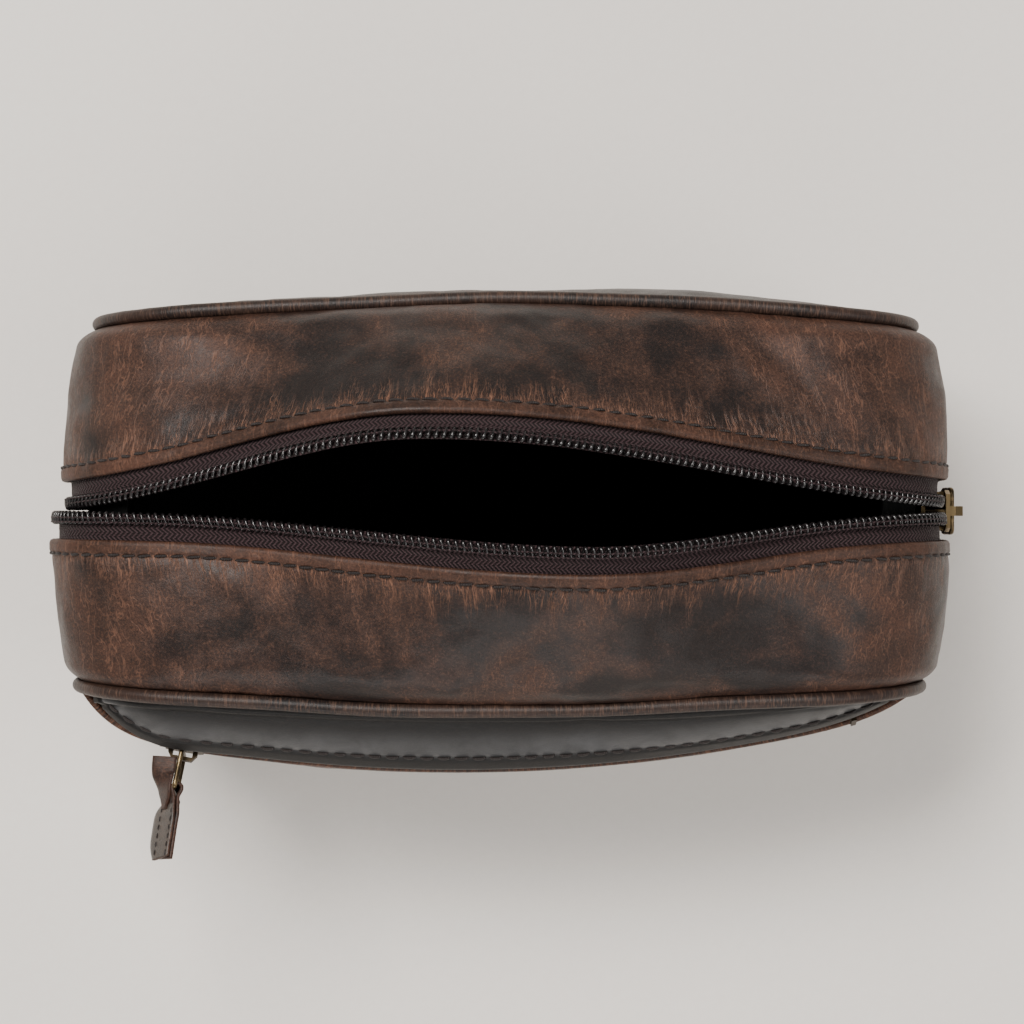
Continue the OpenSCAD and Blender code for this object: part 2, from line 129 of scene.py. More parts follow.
class Paint:
    """A material being built from nodes."""

    def __init__(self, name):
        self.material = bpy.data.materials.new(name)
        self.material.use_nodes = True
        self.tree = self.material.node_tree
        self.shader = self.tree.nodes["Principled BSDF"]

    def node(self, kind, inputs=(), **settings):
        n = self.tree.nodes.new(kind)
        for key, value in settings.items():
            setattr(n, key, value)
        for key, value in dict(inputs).items():
            self.put(n.inputs[key], value)
        return n

    def put(self, socket, value):
        if hasattr(value, "links") or hasattr(value, "is_output"):
            self.tree.links.new(value, socket)
        else:
            socket.default_value = value

    def set(self, **values):
        for key, value in values.items():
            self.put(self.shader.inputs[key.replace("_", " ")], value)

    def attribute(self, name, output="Vector"):
        return self.node("ShaderNodeAttribute", attribute_name=name).outputs[output]

    def parts(self, place):
        return self.node("ShaderNodeSeparateXYZ", {0: place}).outputs

    def math(self, operation, a, b=0.0, c=0.0, clamp=False):
        n = self.node("ShaderNodeMath", {0: a, 1: b, 2: c}, operation=operation, use_clamp=clamp)
        return n.outputs[0]

    def times(self, a, b):
        return self.math("MULTIPLY", a, b)

    def scaled(self, a, scale, shift):
        return self.math("MULTIPLY_ADD", a, scale, shift)

    def vector(self, operation, a, b=(0, 0, 0)):
        n = self.node("ShaderNodeVectorMath", {0: a, 1: b}, operation=operation)
        return n.outputs[0]

    def stretch(self, a, scale):
        return self.vector("MULTIPLY", a, scale)

    def noise(self, place, scale, detail=3.0, distortion=0.0, roughness=0.55):
        n = self.node("ShaderNodeTexNoise", {"Vector": place, "Scale": scale, "Detail": detail,
                                             "Distortion": distortion, "Roughness": roughness})
        return n.outputs["Fac"]

    def band(self, value, low, high, to_low=0.0, to_high=1.0):
        n = self.node("ShaderNodeMapRange", {"Value": value, "From Min": low, "From Max": high,
                                             "To Min": to_low, "To Max": to_high},
                      interpolation_type="SMOOTHSTEP")
        return n.outputs[0]

    def mix(self, fac, a, b, blend="MIX"):
        n = self.tree.nodes.new("ShaderNodeMix")
        n.data_type = "RGBA"
        n.blend_type = blend
        self.put(n.inputs[0], fac)
        for socket, value in ((n.inputs[6], a), (n.inputs[7], b)):
            self.put(socket, (*value, 1) if isinstance(value, tuple) and len(value) == 3 else value)
        return n.outputs[2]

    def bump(self, height, distance, strength=1.0, below=None):
        n = self.node("ShaderNodeBump", {"Height": height, "Distance": distance, "Strength": strength})
        if below is not None:
            self.put(n.inputs["Normal"], below)
        return n.outputs[0]


def leather_paint(name, dark, middle, warm, pale, gloss=0.4, wear=1.0, fringe=1.0, browning=0.0, wave=0.0014,
                  painted_sheen=False):
    """Waxed pull-up leather: near-black where the wax lies, brown in clouds where it has been bent, and
    orange-brown where it is rubbed, with a net of thin cracks and a fringe of pale creases running from the
    sewn edge. The last argument adds a painted highlight: a grey band of sheen painted into the colour a
    little way in from the folded edge and fading before the piping, with lower roughness there."""
    p = Paint(name)
    rest = p.attribute("rest")
    flow = p.attribute("flow")
    worn = p.attribute("worn", "Fac")
    from_edge = p.parts(flow)["Y"]

    patches = p.noise(rest, 0.024, 4.0, 0.8)
    clouds = p.noise(rest, 0.095, 5.0, 0.7, 0.6)
    mottle = p.noise(rest, 0.5, 6.0, 0.3, 0.7)
    grain = p.noise(rest, 1.9, 3.0)
    pores = p.noise(rest, 5.0, 2.0)
    speck = p.noise(rest, 1.35, 5.0, 0.5, 0.78)

    def line(place, scale, width, distortion):
        level = p.noise(place, scale, 3.0, distortion, 0.6)
        return p.band(p.math("ABSOLUTE", p.math("SUBTRACT", level, 0.5)), 0.0, width, 1.0, 0.0)

    sway = p.node("ShaderNodeTexNoise", {"Vector": flow, "Scale": 0.14, "Detail": 3.0}).outputs["Color"]
    swayed = p.vector("ADD", flow, p.stretch(sway, (3.0, 0.0, 0.0)))
    reach = p.scaled(p.noise(p.stretch(flow, (1.0, 0.03, 1.0)), 0.1, 4.0, 0.0, 0.75), 74.0, -23.0)
    near = p.band(p.math("DIVIDE", from_edge, p.math("MAXIMUM", reach, 2.0)), 0.15, 1.0, 1.0, 0.0)
    creases = p.math("MAXIMUM", line(p.stretch(swayed, (1.0, 0.07, 1.0)), 0.5, 0.022, 0.2),
                     p.times(line(p.stretch(swayed, (1.0, 0.12, 1.0)), 0.95, 0.03, 0.2), 0.6))
    creases = p.times(p.times(creases, near), fringe)

    brown = p.scaled(patches, 3.6, -2.0 + browning)
    brown = p.math("ADD", brown, p.scaled(clouds, 1.7, -0.85))
    brown = p.math("ADD", brown, p.scaled(mottle, 0.6, -0.3))
    brown = p.math("ADD", brown, p.times(worn, wear))
    brown = p.math("ADD", brown, p.times(near, 0.34 * fringe))
    long_veins = line(p.stretch(swayed, (1.0, 0.22, 1.0)), 0.24, 0.016, 0.15)
    veins = p.math("MAXIMUM", long_veins, p.times(line(rest, 0.6, 0.03, 0.2), 0.3))
    veins = p.times(veins, p.band(brown, -0.1, 0.9))

    body = p.mix(p.band(brown, -0.35, 0.5), dark, middle)
    body = p.mix(p.times(p.band(brown, 0.35, 1.5), p.band(grain, 0.25, 0.6, 0.5, 1.0)), body, warm)
    shown = p.times(p.band(speck, 0.5, 0.66), p.band(brown, -0.7, 0.9, 0.12, 0.62))
    body = p.mix(shown, body, tuple(0.45 * v for v in pale))
    body = p.mix(p.band(speck, 0.5, 0.36, 0.0, 0.6), body, tuple(0.5 * v for v in dark))
    body = p.mix(p.times(veins, p.scaled(worn, 0.1, 0.2)), body, pale)
    body = p.mix(p.times(creases, 0.6), body, pale)
    body = p.mix(p.band(pores, 0.55, 0.8, 0.0, 0.1), body, pale)

    if painted_sheen:
        # painted highlight: between about 5 and 19 mm from the folded edge a grey band of sheen is painted
        # into the colour, in clouds, and the face nearer the edge and the piping stays dark
        swell = p.times(p.band(from_edge, 4.6, 6.2), p.band(from_edge, 19.0, 7.0))
        swell = p.times(swell, p.band(clouds, 0.2, 0.75, 0.5, 1.0))
        body = p.mix(swell, body, (0.074, 0.074, 0.076))
    height = p.scaled(grain, 0.3, p.times(pores, 0.12))
    height = p.scaled(speck, 0.3, height)
    height = p.math("SUBTRACT", height, p.times(veins, 0.22))
    height = p.math("SUBTRACT", height, p.times(creases, 0.5))
    waves = p.bump(p.noise(rest, 0.07, 1.0, 0.3), wave, 0.6)
    rubbed = p.band(brown, 0.0, 1.2)
    shine = p.scaled(rubbed, 0.14, gloss)
    if painted_sheen:
        shine = p.math("SUBTRACT", shine, p.scaled(swell, 0.24, -0.16))
    p.set(Base_Color=body, Roughness=p.math("ADD", shine, p.scaled(mottle, 0.24, -0.12)),
          Normal=p.bump(height, 0.00025, 0.8, waves))
    p.set(Specular_IOR_Level=0.27)
    return p.material


DARK = (0.0118, 0.0088, 0.0084)
MIDDLE = (0.032, 0.0178, 0.0138)
WARM = (0.066, 0.03, 0.0198)
PALE = (0.255, 0.122, 0.074)
hide = leather_paint("pull_up_leather", DARK, MIDDLE, WARM, PALE)
# the front band's leather, which carries the painted highlight: a grey band of sheen across its face
smooth_hide = leather_paint("smooth_dark_leather", (0.0052, 0.005, 0.005), (0.0095, 0.0082, 0.0082),
                            (0.06, 0.03, 0.02), (0.13, 0.075, 0.05), gloss=0.36, wear=0.8, fringe=0.0,
                            browning=-0.8, wave=0.0002, painted_sheen=True)
edge_hide = leather_paint("folded_leather_edge", (0.012, 0.007, 0.006), (0.03, 0.0145, 0.0098),
                          (0.068, 0.0295, 0.0185), (0.22, 0.105, 0.064), gloss=0.42, fringe=0.0,
                          browning=0.35)
# the outer face of the pocket's pull tab: a lighter grey over the dark leather that stands in for its sheen,
# a painted reflection
sheen_painted_tab = leather_paint("pocket_tab_painted_sheen", (0.06, 0.054, 0.049), (0.085, 0.07, 0.06), (0.13, 0.085, 0.062),
                         (0.24, 0.15, 0.1), gloss=0.3, fringe=0.0, browning=-0.3, wave=0.0002)


def piping_paint():
    """Leather drawn tight round a cord, with fine creases across it."""
    p = Paint("piping_leather")
    rest = p.attribute("rest")
    flow = p.attribute("flow")
    worn = p.attribute("worn", "Fac")
    clouds = p.noise(rest, 0.06, 4.0, 0.5)
    across = p.noise(p.stretch(flow, (1.0, 0.12, 1.0)), 1.7, 3.0, 0.3)
    fine = p.noise(rest, 3.0, 2.0)
    rub = p.math("ADD", p.times(worn, 0.7), p.scaled(clouds, 0.9, -0.42), clamp=True)
    body = p.mix(p.band(clouds, 0.4, 0.65), (0.0085, 0.0062, 0.006), (0.021, 0.012, 0.0092))
    body = p.mix(rub, body, (0.038, 0.019, 0.0135))
    ticks = p.noise(p.stretch(flow, (1.0, 0.1, 1.0)), 3.2, 2.0, 0.2)
    body = p.mix(p.times(p.band(across, 0.5, 0.7), 0.5), body, (0.13, 0.07, 0.046))
    body = p.mix(p.times(p.band(ticks, 0.52, 0.66), 0.4), body, (0.1, 0.058, 0.04))
    p.set(Specular_IOR_Level=0.32)
    p.set(Base_Color=body, Roughness=p.scaled(across, 0.25, 0.36),
          Normal=p.bump(p.math("ADD", p.times(across, -0.7), p.times(fine, 0.3)), 0.00025, 0.9))
    return p.material


TWILL_TURN, TWILL_PITCH, YARN_PITCH = 1.5, 1.4, 0.5


def tape_paint():
    """Herringbone-woven zip tape."""
    p = Paint("zip_tape")
    flow = p.attribute("flow")
    rest = p.attribute("rest")
    parts = p.parts(flow)
    zig = p.math("PINGPONG", parts["Y"], TWILL_TURN)
    twill = p.math("SINE", p.times(p.math("ADD", parts["X"], zig), 2 * math.pi / TWILL_PITCH))
    yarn = p.math("SINE", p.times(parts["Y"], 2 * math.pi / YARN_PITCH))
    fuzz = p.noise(rest, 2.5, 3.0)
    height = p.math("ADD", p.scaled(twill, 0.42, 0.5), p.times(yarn, 0.12))
    # painted shade: the colour follows the weave's relief, near-black in the twill's grooves and lighter on
    # its ridges, with a random fuzz of tone on top
    twill_painted_shade_and_fuzz = p.math("ADD", p.times(height, 0.75), p.times(fuzz, 0.5))
    body = p.mix(p.band(twill_painted_shade_and_fuzz, 0.25, 1.0), (0.002, 0.0012, 0.0015), (0.058, 0.034, 0.038))
    body = p.mix(p.times(p.noise(rest, 0.2, 2.0), 0.35), body, (0.024, 0.0125, 0.0115))
    p.set(Base_Color=body, Roughness=0.68, Normal=p.bump(height, 0.0004, 1.0))
    p.set(Specular_IOR_Level=0.2)
    p.set(Sheen_Weight=0.02)
    p.set(Sheen_Roughness=0.5)
    return p.material


def coil_paint():
    p = Paint("nylon_coil")
    rest = p.attribute("rest")
    dust = p.noise(rest, 0.9, 3.0)
    p.set(Base_Color=p.mix(p.band(dust, 0.45, 0.8), (0.0055, 0.0048, 0.0053), (0.022, 0.017, 0.018)),
          Roughness=p.scaled(dust, 0.22, 0.16),
          Normal=p.bump(p.noise(rest, 5.0, 2.0), 0.00004, 0.6))
    p.set(Specular_IOR_Level=0.7)
    return p.material


def thread_paint(name, dark, light):
    p = Paint(name)
    flow = p.attribute("flow")
    rest = p.attribute("rest")
    ply = p.math("SINE", p.times(p.parts(flow)["X"], 2 * math.pi / YARN_PITCH))
    # painted shade: the colour follows the ply's relief, lighter on its ridges and darker between them
    body = p.mix(p.scaled(ply, 0.35, 0.45), dark, light)
    p.set(Base_Color=body, Roughness=0.6, Normal=p.bump(p.math("ADD", ply, p.noise(rest, 5.0)), 0.0001, 0.8))
    return p.material


def lining_paint():
    p = Paint("black_lining")
    rest = p.attribute("rest")
    parts = p.parts(rest)
    weave = p.times(p.math("SINE", p.times(p.math("ADD", parts["X"], parts["Y"]), 14.0)),
                    p.math("SINE", p.times(p.math("SUBTRACT", parts["Z"], parts["Y"]), 14.0)))
    fold = p.noise(rest, 0.05, 3.0)
    # painted shade: the colour is lighter on the weave's raised threads and darker between them, and lighter
    # in a soft cloud that stands in for the light on the cloth's folds
    body = p.mix(p.band(p.math("ADD", weave, fold), 0.0, 1.6),
                 (0.005, 0.0057, 0.0055), (0.013, 0.0143, 0.0138))
    p.set(Base_Color=body, Roughness=0.85, Normal=p.bump(weave, 0.0001, 0.7))
    p.set(Specular_IOR_Level=0.2)
    return p.material


def brass_paint(name, hollow, rubbed, matt):
    """Antiqued brass: brown in the hollows, brighter where it rubs. CAD nodes carry no attributes, so this
    paint works from object coordinates, in metres."""
    p = Paint(name)
    place = p.node("ShaderNodeTexCoord").outputs["Object"]
    large = p.noise(place, 260.0, 4.0, 0.4)
    fine = p.noise(place, 2600.0, 3.0)
    edge = p.node("ShaderNodeNewGeometry").outputs["Pointiness"]
    bright = p.math("ADD", p.band(large, 0.4, 0.7), p.band(edge, 0.5, 0.6), clamp=True)
    body = p.mix(bright, hollow, rubbed)
    p.set(Base_Color=body, Roughness=p.scaled(fine, 0.2, matt),
          Normal=p.bump(p.math("ADD", fine, large), 0.00006, 0.6))
    p.set(Metallic=1.0)
    return p.material


def floor_paint():
    p = Paint("floor")
    place = p.node("ShaderNodeTexCoord").outputs["Object"]
    mottle = p.noise(place, 5.0, 5.0)
    speck = p.noise(place, 300.0, 3.0)
    body = p.mix(p.math("ADD", p.times(mottle, 0.6), p.times(speck, 0.4)),
                 (0.84, 0.79, 0.735), (0.95, 0.905, 0.85))
    p.set(Base_Color=body, Roughness=0.8, Normal=p.bump(speck, 0.0003, 0.3))
    return p.material


piping_hide = piping_paint()
tape_cloth = tape_paint()
nylon = coil_paint()
thread = thread_paint("dark_thread", (0.0045, 0.003, 0.003), (0.022, 0.0135, 0.0115))
cloth = lining_paint()
brass = brass_paint("antique_brass", (0.035, 0.026, 0.016), (0.2, 0.145, 0.075), 0.26)
# near-black brass for the pocket's slider and stops, which sit under the band's edge: painted shade, and
# rougher than the mouth's brass
dull_brass_painted_shade = brass_paint("dull_brass_painted_shade", (0.009, 0.007, 0.005), (0.045, 0.033, 0.02), 0.46)

floor_mesh = bpy.data.meshes.new("floor")
floor_mesh.from_pydata([(-3, -3, 0), (3, -3, 0), (3, 3, 0), (-3, 3, 0)], [], [(0, 1, 2, 3)])
floor_mesh.materials.append(floor_paint())
floor = bpy.data.objects.new("floor", floor_mesh)
bpy.context.collection.objects.link(floor)


# ---------------------------------------------------------------- meshes

def piece(name, points, faces, paint, flow=None, worn=None, crisp=None, paints=(), paint_of=None):
    """A mesh from points in millimetres. crisp marks vertices whose shared edges stay sharp."""
    mesh = bpy.data.meshes.new(name)
    mesh.from_pydata((np.asarray(points) * 0.001).tolist(), [], faces)
    mesh.update()
    mesh.calc_loop_triangles()
    corners = np.zeros(len(mesh.loop_triangles) * 3, np.int32)
    mesh.loop_triangles.foreach_get("vertices", corners)
    a, b, c = np.asarray(points, float)[corners.reshape(-1, 3)].transpose(1, 0, 2)
    if np.sum(a * np.cross(b, c)) < 0:
        mesh.flip_normals()
    mesh.polygons.foreach_set("use_smooth", np.ones(len(mesh.polygons), bool))
    for paint_used in (paint, *paints):
        mesh.materials.append(paint_used)
    if paint_of is not None:
        mesh.polygons.foreach_set("material_index", np.asarray(paint_of, dtype=np.int32))
    count = len(mesh.vertices)

    def write(key, kind, values, field):
        data = mesh.attributes.new(key, kind, "POINT").data
        data.foreach_set(field, np.asarray(values, np.float32).ravel())

    write("rest", "FLOAT_VECTOR", points, "vector")
    write("flow", "FLOAT_VECTOR", points if flow is None else flow, "vector")
    write("worn", "FLOAT", np.zeros(count) if worn is None else worn, "value")
    if crisp is not None:
        ends = np.zeros(len(mesh.edges) * 2, np.int32)
        mesh.edges.foreach_get("vertices", ends)
        groups = np.asarray(crisp)[ends.reshape(-1, 2)]
        sharp = (groups[:, 0] > 0) & (groups[:, 0] == groups[:, 1])
        mesh.attributes.new("sharp_edge", "BOOLEAN", "EDGE").data.foreach_set("value", sharp)
    thing = bpy.data.objects.new(name, mesh)
    bpy.context.collection.objects.link(thing)
    return thing


def grid_normals(grid, out):
    """Normals of a grid of points, turned to the side that out points to."""
    n = unit(np.cross(np.gradient(grid, axis=0), np.gradient(grid, axis=1)))
    flip = np.sign(np.sum(n * out))
    return n * (flip if flip else 1)


def loops_to_mesh(loops, pair):
    """A solid swept through closed loops of points, shaped (stations, points, 3). Each loop folds back on
    itself with pair points along one side, so that the ends close in a ladder."""
    n, m = loops.shape[:2]
    index = np.arange(n * m).reshape(n, m)
    a, b = index[:-1], index[1:]
    faces = np.stack([a, b, np.roll(b, -1, 1), np.roll(a, -1, 1)], -1).reshape(-1, 4).tolist()
    for row, flip in ((index[0], False), (index[-1], True)):
        other = row[::-1]
        caps = [[int(row[i]), int(row[i + 1]), int(other[i + 1]), int(other[i])] for i in range(pair - 1)]
        middle = row[pair - 1:m - pair + 1].tolist()
        if len(middle) > 2:
            caps.append(middle)
        faces += [c[::-1] if flip else c for c in caps]
    return loops.reshape(-1, 3), faces


def shell(name, grid, out, thick, paint, flow, worn=None, edge_paint=None, edge_columns=0,
          round_steps=3):
    """A closed sheet under a grid of points. thick is its thickness, and its last column's edge is round."""
    n, m = grid.shape[:2]
    worn = np.zeros((n, m)) if worn is None else worn
    normal = grid_normals(grid, out)
    inner = grid - normal * np.reshape(thick, (1, -1, 1) if np.ndim(thick) else (1, 1, 1))
    tip = unit(grid[:, -1] - grid[:, -2])
    centre = (grid[:, -1] + inner[:, -1]) / 2
    arm = (grid[:, -1] - inner[:, -1]) / 2
    radius = np.linalg.norm(arm, axis=-1, keepdims=True)
    rounds = [centre + arm * math.cos(a) + tip * radius * math.sin(a)
              for a in np.linspace(0, math.pi, round_steps + 2)[1:-1]]
    loops = np.concatenate([grid, np.stack(rounds, 1), inner[:, ::-1]], 1)
    total = loops.shape[1]
    full_flow = np.concatenate([flow, np.repeat(flow[:, -1:], round_steps, 1), flow[:, ::-1]], 1)
    full_worn = np.concatenate([worn, np.repeat(worn[:, -1:], round_steps, 1), worn[:, ::-1] * 0], 1)
    points, faces = loops_to_mesh(loops, m)
    check = np.cross(loops[1, 1] - loops[0, 1], loops[0, 2] - loops[0, 1])
    if np.dot(check, normal[0, 1]) < 0:
        faces = [f[::-1] for f in faces]
    crisp = np.zeros((n, total), int)
    crisp[0], crisp[-1] = 1, 2
    paints, paint_of = (), None
    if edge_paint is not None:
        paints = (edge_paint,)
        per_row = np.zeros(total, int)
        per_row[m - 1 - edge_columns:m + round_steps] = 1
        paint_of = np.zeros(len(faces), int)
        paint_of[:(n - 1) * total] = np.tile(per_row, n - 1)
    return piece(name, points, faces, paint, full_flow.reshape(-1, 3), full_worn.reshape(-1),
                 crisp.reshape(-1), paints, paint_of)


def tube(path, radius, sides, ref, closed=False):
    """Points and faces of a tube along path. ref is a direction that the path never takes."""
    if closed:
        run = unit(np.roll(path, -1, 0) - np.roll(path, 1, 0))
    else:
        run = unit(np.gradient(path, axis=0))
    one = unit(np.cross(run, ref))
    two = np.cross(run, one)
    angle = np.linspace(0, 2 * np.pi, sides, endpoint=False)
    radius = np.broadcast_to(np.asarray(radius, float), (len(path),))[:, None, None]
    loops = path[:, None] + radius * (one[:, None] * np.cos(angle)[None, :, None]
                                      + two[:, None] * np.sin(angle)[None, :, None])
    n = len(path)
    index = np.arange(n * sides).reshape(n, sides)
    a = index if closed else index[:-1]
    b = np.roll(index, -1, 0) if closed else index[1:]
    faces = np.stack([a, np.roll(a, -1, 1), np.roll(b, -1, 1), b], -1).reshape(-1, 4).tolist()
    if not closed:
        faces += [index[0][::-1].tolist(), index[-1].tolist()]
    return loops.reshape(-1, 3), faces


def lengths(line):
    """The length along a line of points, up to each of them."""
    return np.concatenate([[0], np.cumsum(np.linalg.norm(np.diff(line, axis=0), axis=1))])


def flow_map(along, across):
    """Flat coordinates for the materials: along a seam, and away from it."""
    along, across = np.broadcast_arrays(along, across)
    return np.stack([along, across, np.zeros(along.shape)], -1)


def joined(parts):
    """Several (points, faces) as one."""
    points, faces, start = [], [], 0
    for p, f in parts:
        points.append(p)
        faces += [[i + start for i in face] for face in f]
        start += len(p)
    return np.concatenate(points), faces


# ---------------------------------------------------------------- the bag's surfaces

PANEL_HALF, PANEL_LOW, PANEL_TOP = 125.0, 3.0, 143.0
PANEL_MIDDLE = (PANEL_LOW + PANEL_TOP) / 2
CORNER_TOP, CORNER_LOW = 38.0, 28.0
ZIP_LINE = -3.3                 # the closed mouth lies this far before the middle plane
CHAIN_GAP = 0.65
TOP_RUN, TURN_RADIUS, DOWN_RUN = 100.0, 34.0, 54.0
S_TURN = TOP_RUN + TURN_RADIUS * math.pi / 2
S_END = S_TURN + DOWN_RUN
TAPE_SHOW = 9.5                 # from a leather edge to the zip's edge
LEATHER = 1.8


def seam(side, x):
    """Where a piped seam lies front to back."""
    return side * ((54.5 if side > 0 else 57.5) + 5.5 * (1 - (x / PANEL_HALF) ** 2))


def seam_wave(side, x, z):
    """The sewn seams aren't dead straight."""
    return 0.45 * np.sin(x / 27 + side) + 0.14 * np.sin(x / 11 + 2.0) * ramp(90, 140, z)


# how far each top corner of the soft bag is drawn out along its length
PULL = {(FRONT, LEFT): 9.0, (FRONT, RIGHT): 3.8, (BACK, LEFT): 2.8, (BACK, RIGHT): 1.6}


def pulled(side, x, z):
    far = np.where(x < 0, PULL[side, LEFT], PULL[side, RIGHT])
    return x + np.sign(x) * far * ramp(60, 122, np.abs(x)) * ramp(25, 95, z)


def zip_path(s):
    """Piping point, zip point and outward direction, each in X and Z, at s along the mouth."""
    a, g = np.abs(s), np.where(s < 0, -1.0, 1.0)
    top = np.minimum(a, TOP_RUN) / TOP_RUN
    turn = np.clip((a - TOP_RUN) / TURN_RADIUS, 0, math.pi / 2)
    down = np.clip((a - S_TURN) / DOWN_RUN, 0, 1.2)
    p = (g * (87 * top + 38 * np.sin(turn)), 105 + 38 * np.cos(turn) - 45 * down)
    e = (g * (100 * top + 34 * np.sin(turn)), 114 + 34 * np.cos(turn) - 54 * down)
    return p, e, (g * np.sin(turn), np.cos(turn))


def gape(side, x):
    """How far a lip stands open at x, from 0 to 1. The two lips peak at different places."""
    if side == BACK:
        return ramp(-140, -25, x) * ramp(150, -20, x)
    return ramp(-115, 28, x) * ramp(150, 25, x) ** 1.6


OPEN = {BACK: (21.0, 42.0), FRONT: (10.4, 29.5)}
# how far the stiff chain stands out past the leather where it turns down each end
FLARE = {(FRONT, LEFT): 7.5, (BACK, LEFT): 3.0, (FRONT, RIGHT): 1.8, (BACK, RIGHT): 0.8}


def strip_ends(side, s):
    (px, pz), (ex, ez), (ox, oz) = zip_path(s)
    w = gape(side, ex)
    apart, rise = OPEN[side]
    shape = np.broadcast(px, ex).shape
    p = np.stack([pulled(side, px, pz) - ox * 0.7, seam(side, px) + seam_wave(side, px, pz) - side * 1.55,
                  pz - oz * 0.7], -1)
    out = np.stack([ox, np.zeros(shape), oz], -1)
    flare = np.where(s < 0, FLARE[side, LEFT], FLARE[side, RIGHT]) * hill(np.abs(s), 138, 32)
    gap = CHAIN_GAP - np.where(s < 0, 0.3 * ramp(100, 140, -s), 0.5 * ramp(158, 166, s))
    e = np.stack([ex, ZIP_LINE + side * (gap + apart * w), ez + rise * w**1.1], -1) + out * flare[..., None]
    return p, e, out


def strip_length(side, s):
    p, e, _ = strip_ends(side, s)
    return 1.03 * np.linalg.norm(e - p, axis=-1)


def strip(side, s, u):
    """A point on the outer face of a mouth strip: u runs from the piping, 0, to the zip's edge, 1."""
    s, u = np.broadcast_arrays(np.asarray(s, float), np.asarray(u, float))
    p, e, out = strip_ends(side, s)
    along = unit(e - p)
    lift = unit(out - dot(out, along) * along)
    crown = 0.21 - 0.08 * smooth((np.abs(s) - 80) / 50)
    hump = np.where(u < crown, 1 - (1 - u / crown) ** 2, 1 - ((u - crown) / (1 - crown)) ** 2)
    height = 5.9 + (1.2 if side == BACK else np.where(s > 0, -0.5, -1.6)) * smooth((np.abs(s) - 60) / 60)
    return p + (e - p) * u[..., None] + lift * (hump * height)[..., None]


# soft dents and ridges pressed into the strips: start and end, each as s and the distance from the leather's
# edge, then width and depth
FOLDS = {
    BACK: [(-128, 34, -62, 12, 6, 1.1), (-100, 44, -58, 24, 5, 0.8), (-150, 20, -96, 30, 7, 1.0),
           (72, 48, 98, 20, 7, 1.0), (112, 40, 136, 8, 6, 0.9), (-20, 36, 34, 44, 9, 0.5),
           (128, 44, 104, 30, 6, 0.8), (-6, 50, 0, 26, 7, 0.5)],
    FRONT: [(92, 4, 124, 34, 6, 1.2), (28, 38, 74, 44, 5, 0.9), (-44, 6, -36, 36, 5, 0.7),
            (-124, 8, -118, 46, 7, 1.0), (-104, 30, -128, 44, 6, 1.0), (2, 30, 60, 16, 9, 0.7),
            (108, 44, 134, 20, 6, 0.9), (-8, 46, 16, 20, 6, 0.8)],
}


def fold_depth(side, s, t):
    """Depth of the folds at (s, t), and how rubbed their shoulders are."""
    depth, rubbed = 0, 0
    for s0, t0, s1, t1, width, deep in FOLDS[side]:
        run = np.array([s1 - s0, t1 - t0], float)
        k = np.clip(((s - s0) * run[0] + (t - t0) * run[1]) / np.dot(run, run), 0, 1)
        away = np.hypot(s - s0 - k * run[0], t - t0 - k * run[1])
        fade = np.sin(np.pi * np.clip(0.08 + 0.84 * k, 0, 1))
        depth = depth + deep * fade * np.exp(-(away / width) ** 2)
        rubbed = rubbed + 0.55 * deep * fade * np.exp(-((away - width) / (0.55 * width)) ** 2)
    return depth, rubbed


STITCH_IN = 3.3                 # stitches lie this far in from a folded edge
MOUTH_PITCH = 4.9


def strip_grid(side, s, from_edge):
    """Outer face of a strip at distances from its folded edge, with its folds, puckers and rubbed places."""
    s2 = np.broadcast_to(s[:, None], (len(s), len(from_edge)))
    length = strip_length(side, s)[:, None]
    t = np.broadcast_to(from_edge[None, :], s2.shape)
    limit = length - TAPE_SHOW - 0.6
    t = np.where(t < 20, t, 20 + (t - 20) * (limit - 20) / (from_edge[0] - 20))
    u = 1 - (t + TAPE_SHOW) / length
    base = strip(side, s2, u)
    normal = grid_normals(base, strip_ends(side, s2)[2])
    depth, rubbed = fold_depth(side, s2, t)
    inland = ramp(1, 9, t) * ramp(0, 8, limit - t)
    soft = 0.75 * cloud(base, 34, 3 + side) * inland
    small = 0.16 * cloud(base, 7, 9 + side, 2) * ramp(3, 10, t)
    pucker = 0.13 * np.sin(2 * np.pi * s2 / MOUTH_PITCH) * hill(t, STITCH_IN, 2.6)
    groove = -0.32 * hill(t, STITCH_IN, 0.75)
    folded = 0.75 * ramp(4.0, 2.7, t)
    lift = soft + small + pucker + groove + folded - depth * inland
    corner = hill(np.abs(s2), 128, 34)
    near_piping = ramp(11, 0, limit - t)
    worn = (0.12 + 0.62 * corner * ramp(2, 16, t) + 0.55 * near_piping + 0.5 * ramp(7, 2, t) + rubbed
            + 0.35 * cloud(base, 30, 21 + side))
    return base + normal * lift[..., None], np.clip(worn, 0, 1), s2, t


def stations(low, high, step):
    return np.linspace(low, high, max(2, int(round(abs(high - low) / step)) + 1))


def hinge(thing):
    """Bakes a mouth piece's placement into its mesh."""
    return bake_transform(thing)


def names(side, end):
    return ("back" if side == BACK else "front"), ("left" if end == LEFT else "right")


# distances from the folded edge where a strip has its columns: fine near the edge and the stitches
COLUMNS = np.concatenate([np.linspace(66, 50, 12), np.linspace(48.8, 8, 33), np.linspace(7, 0, 15)])


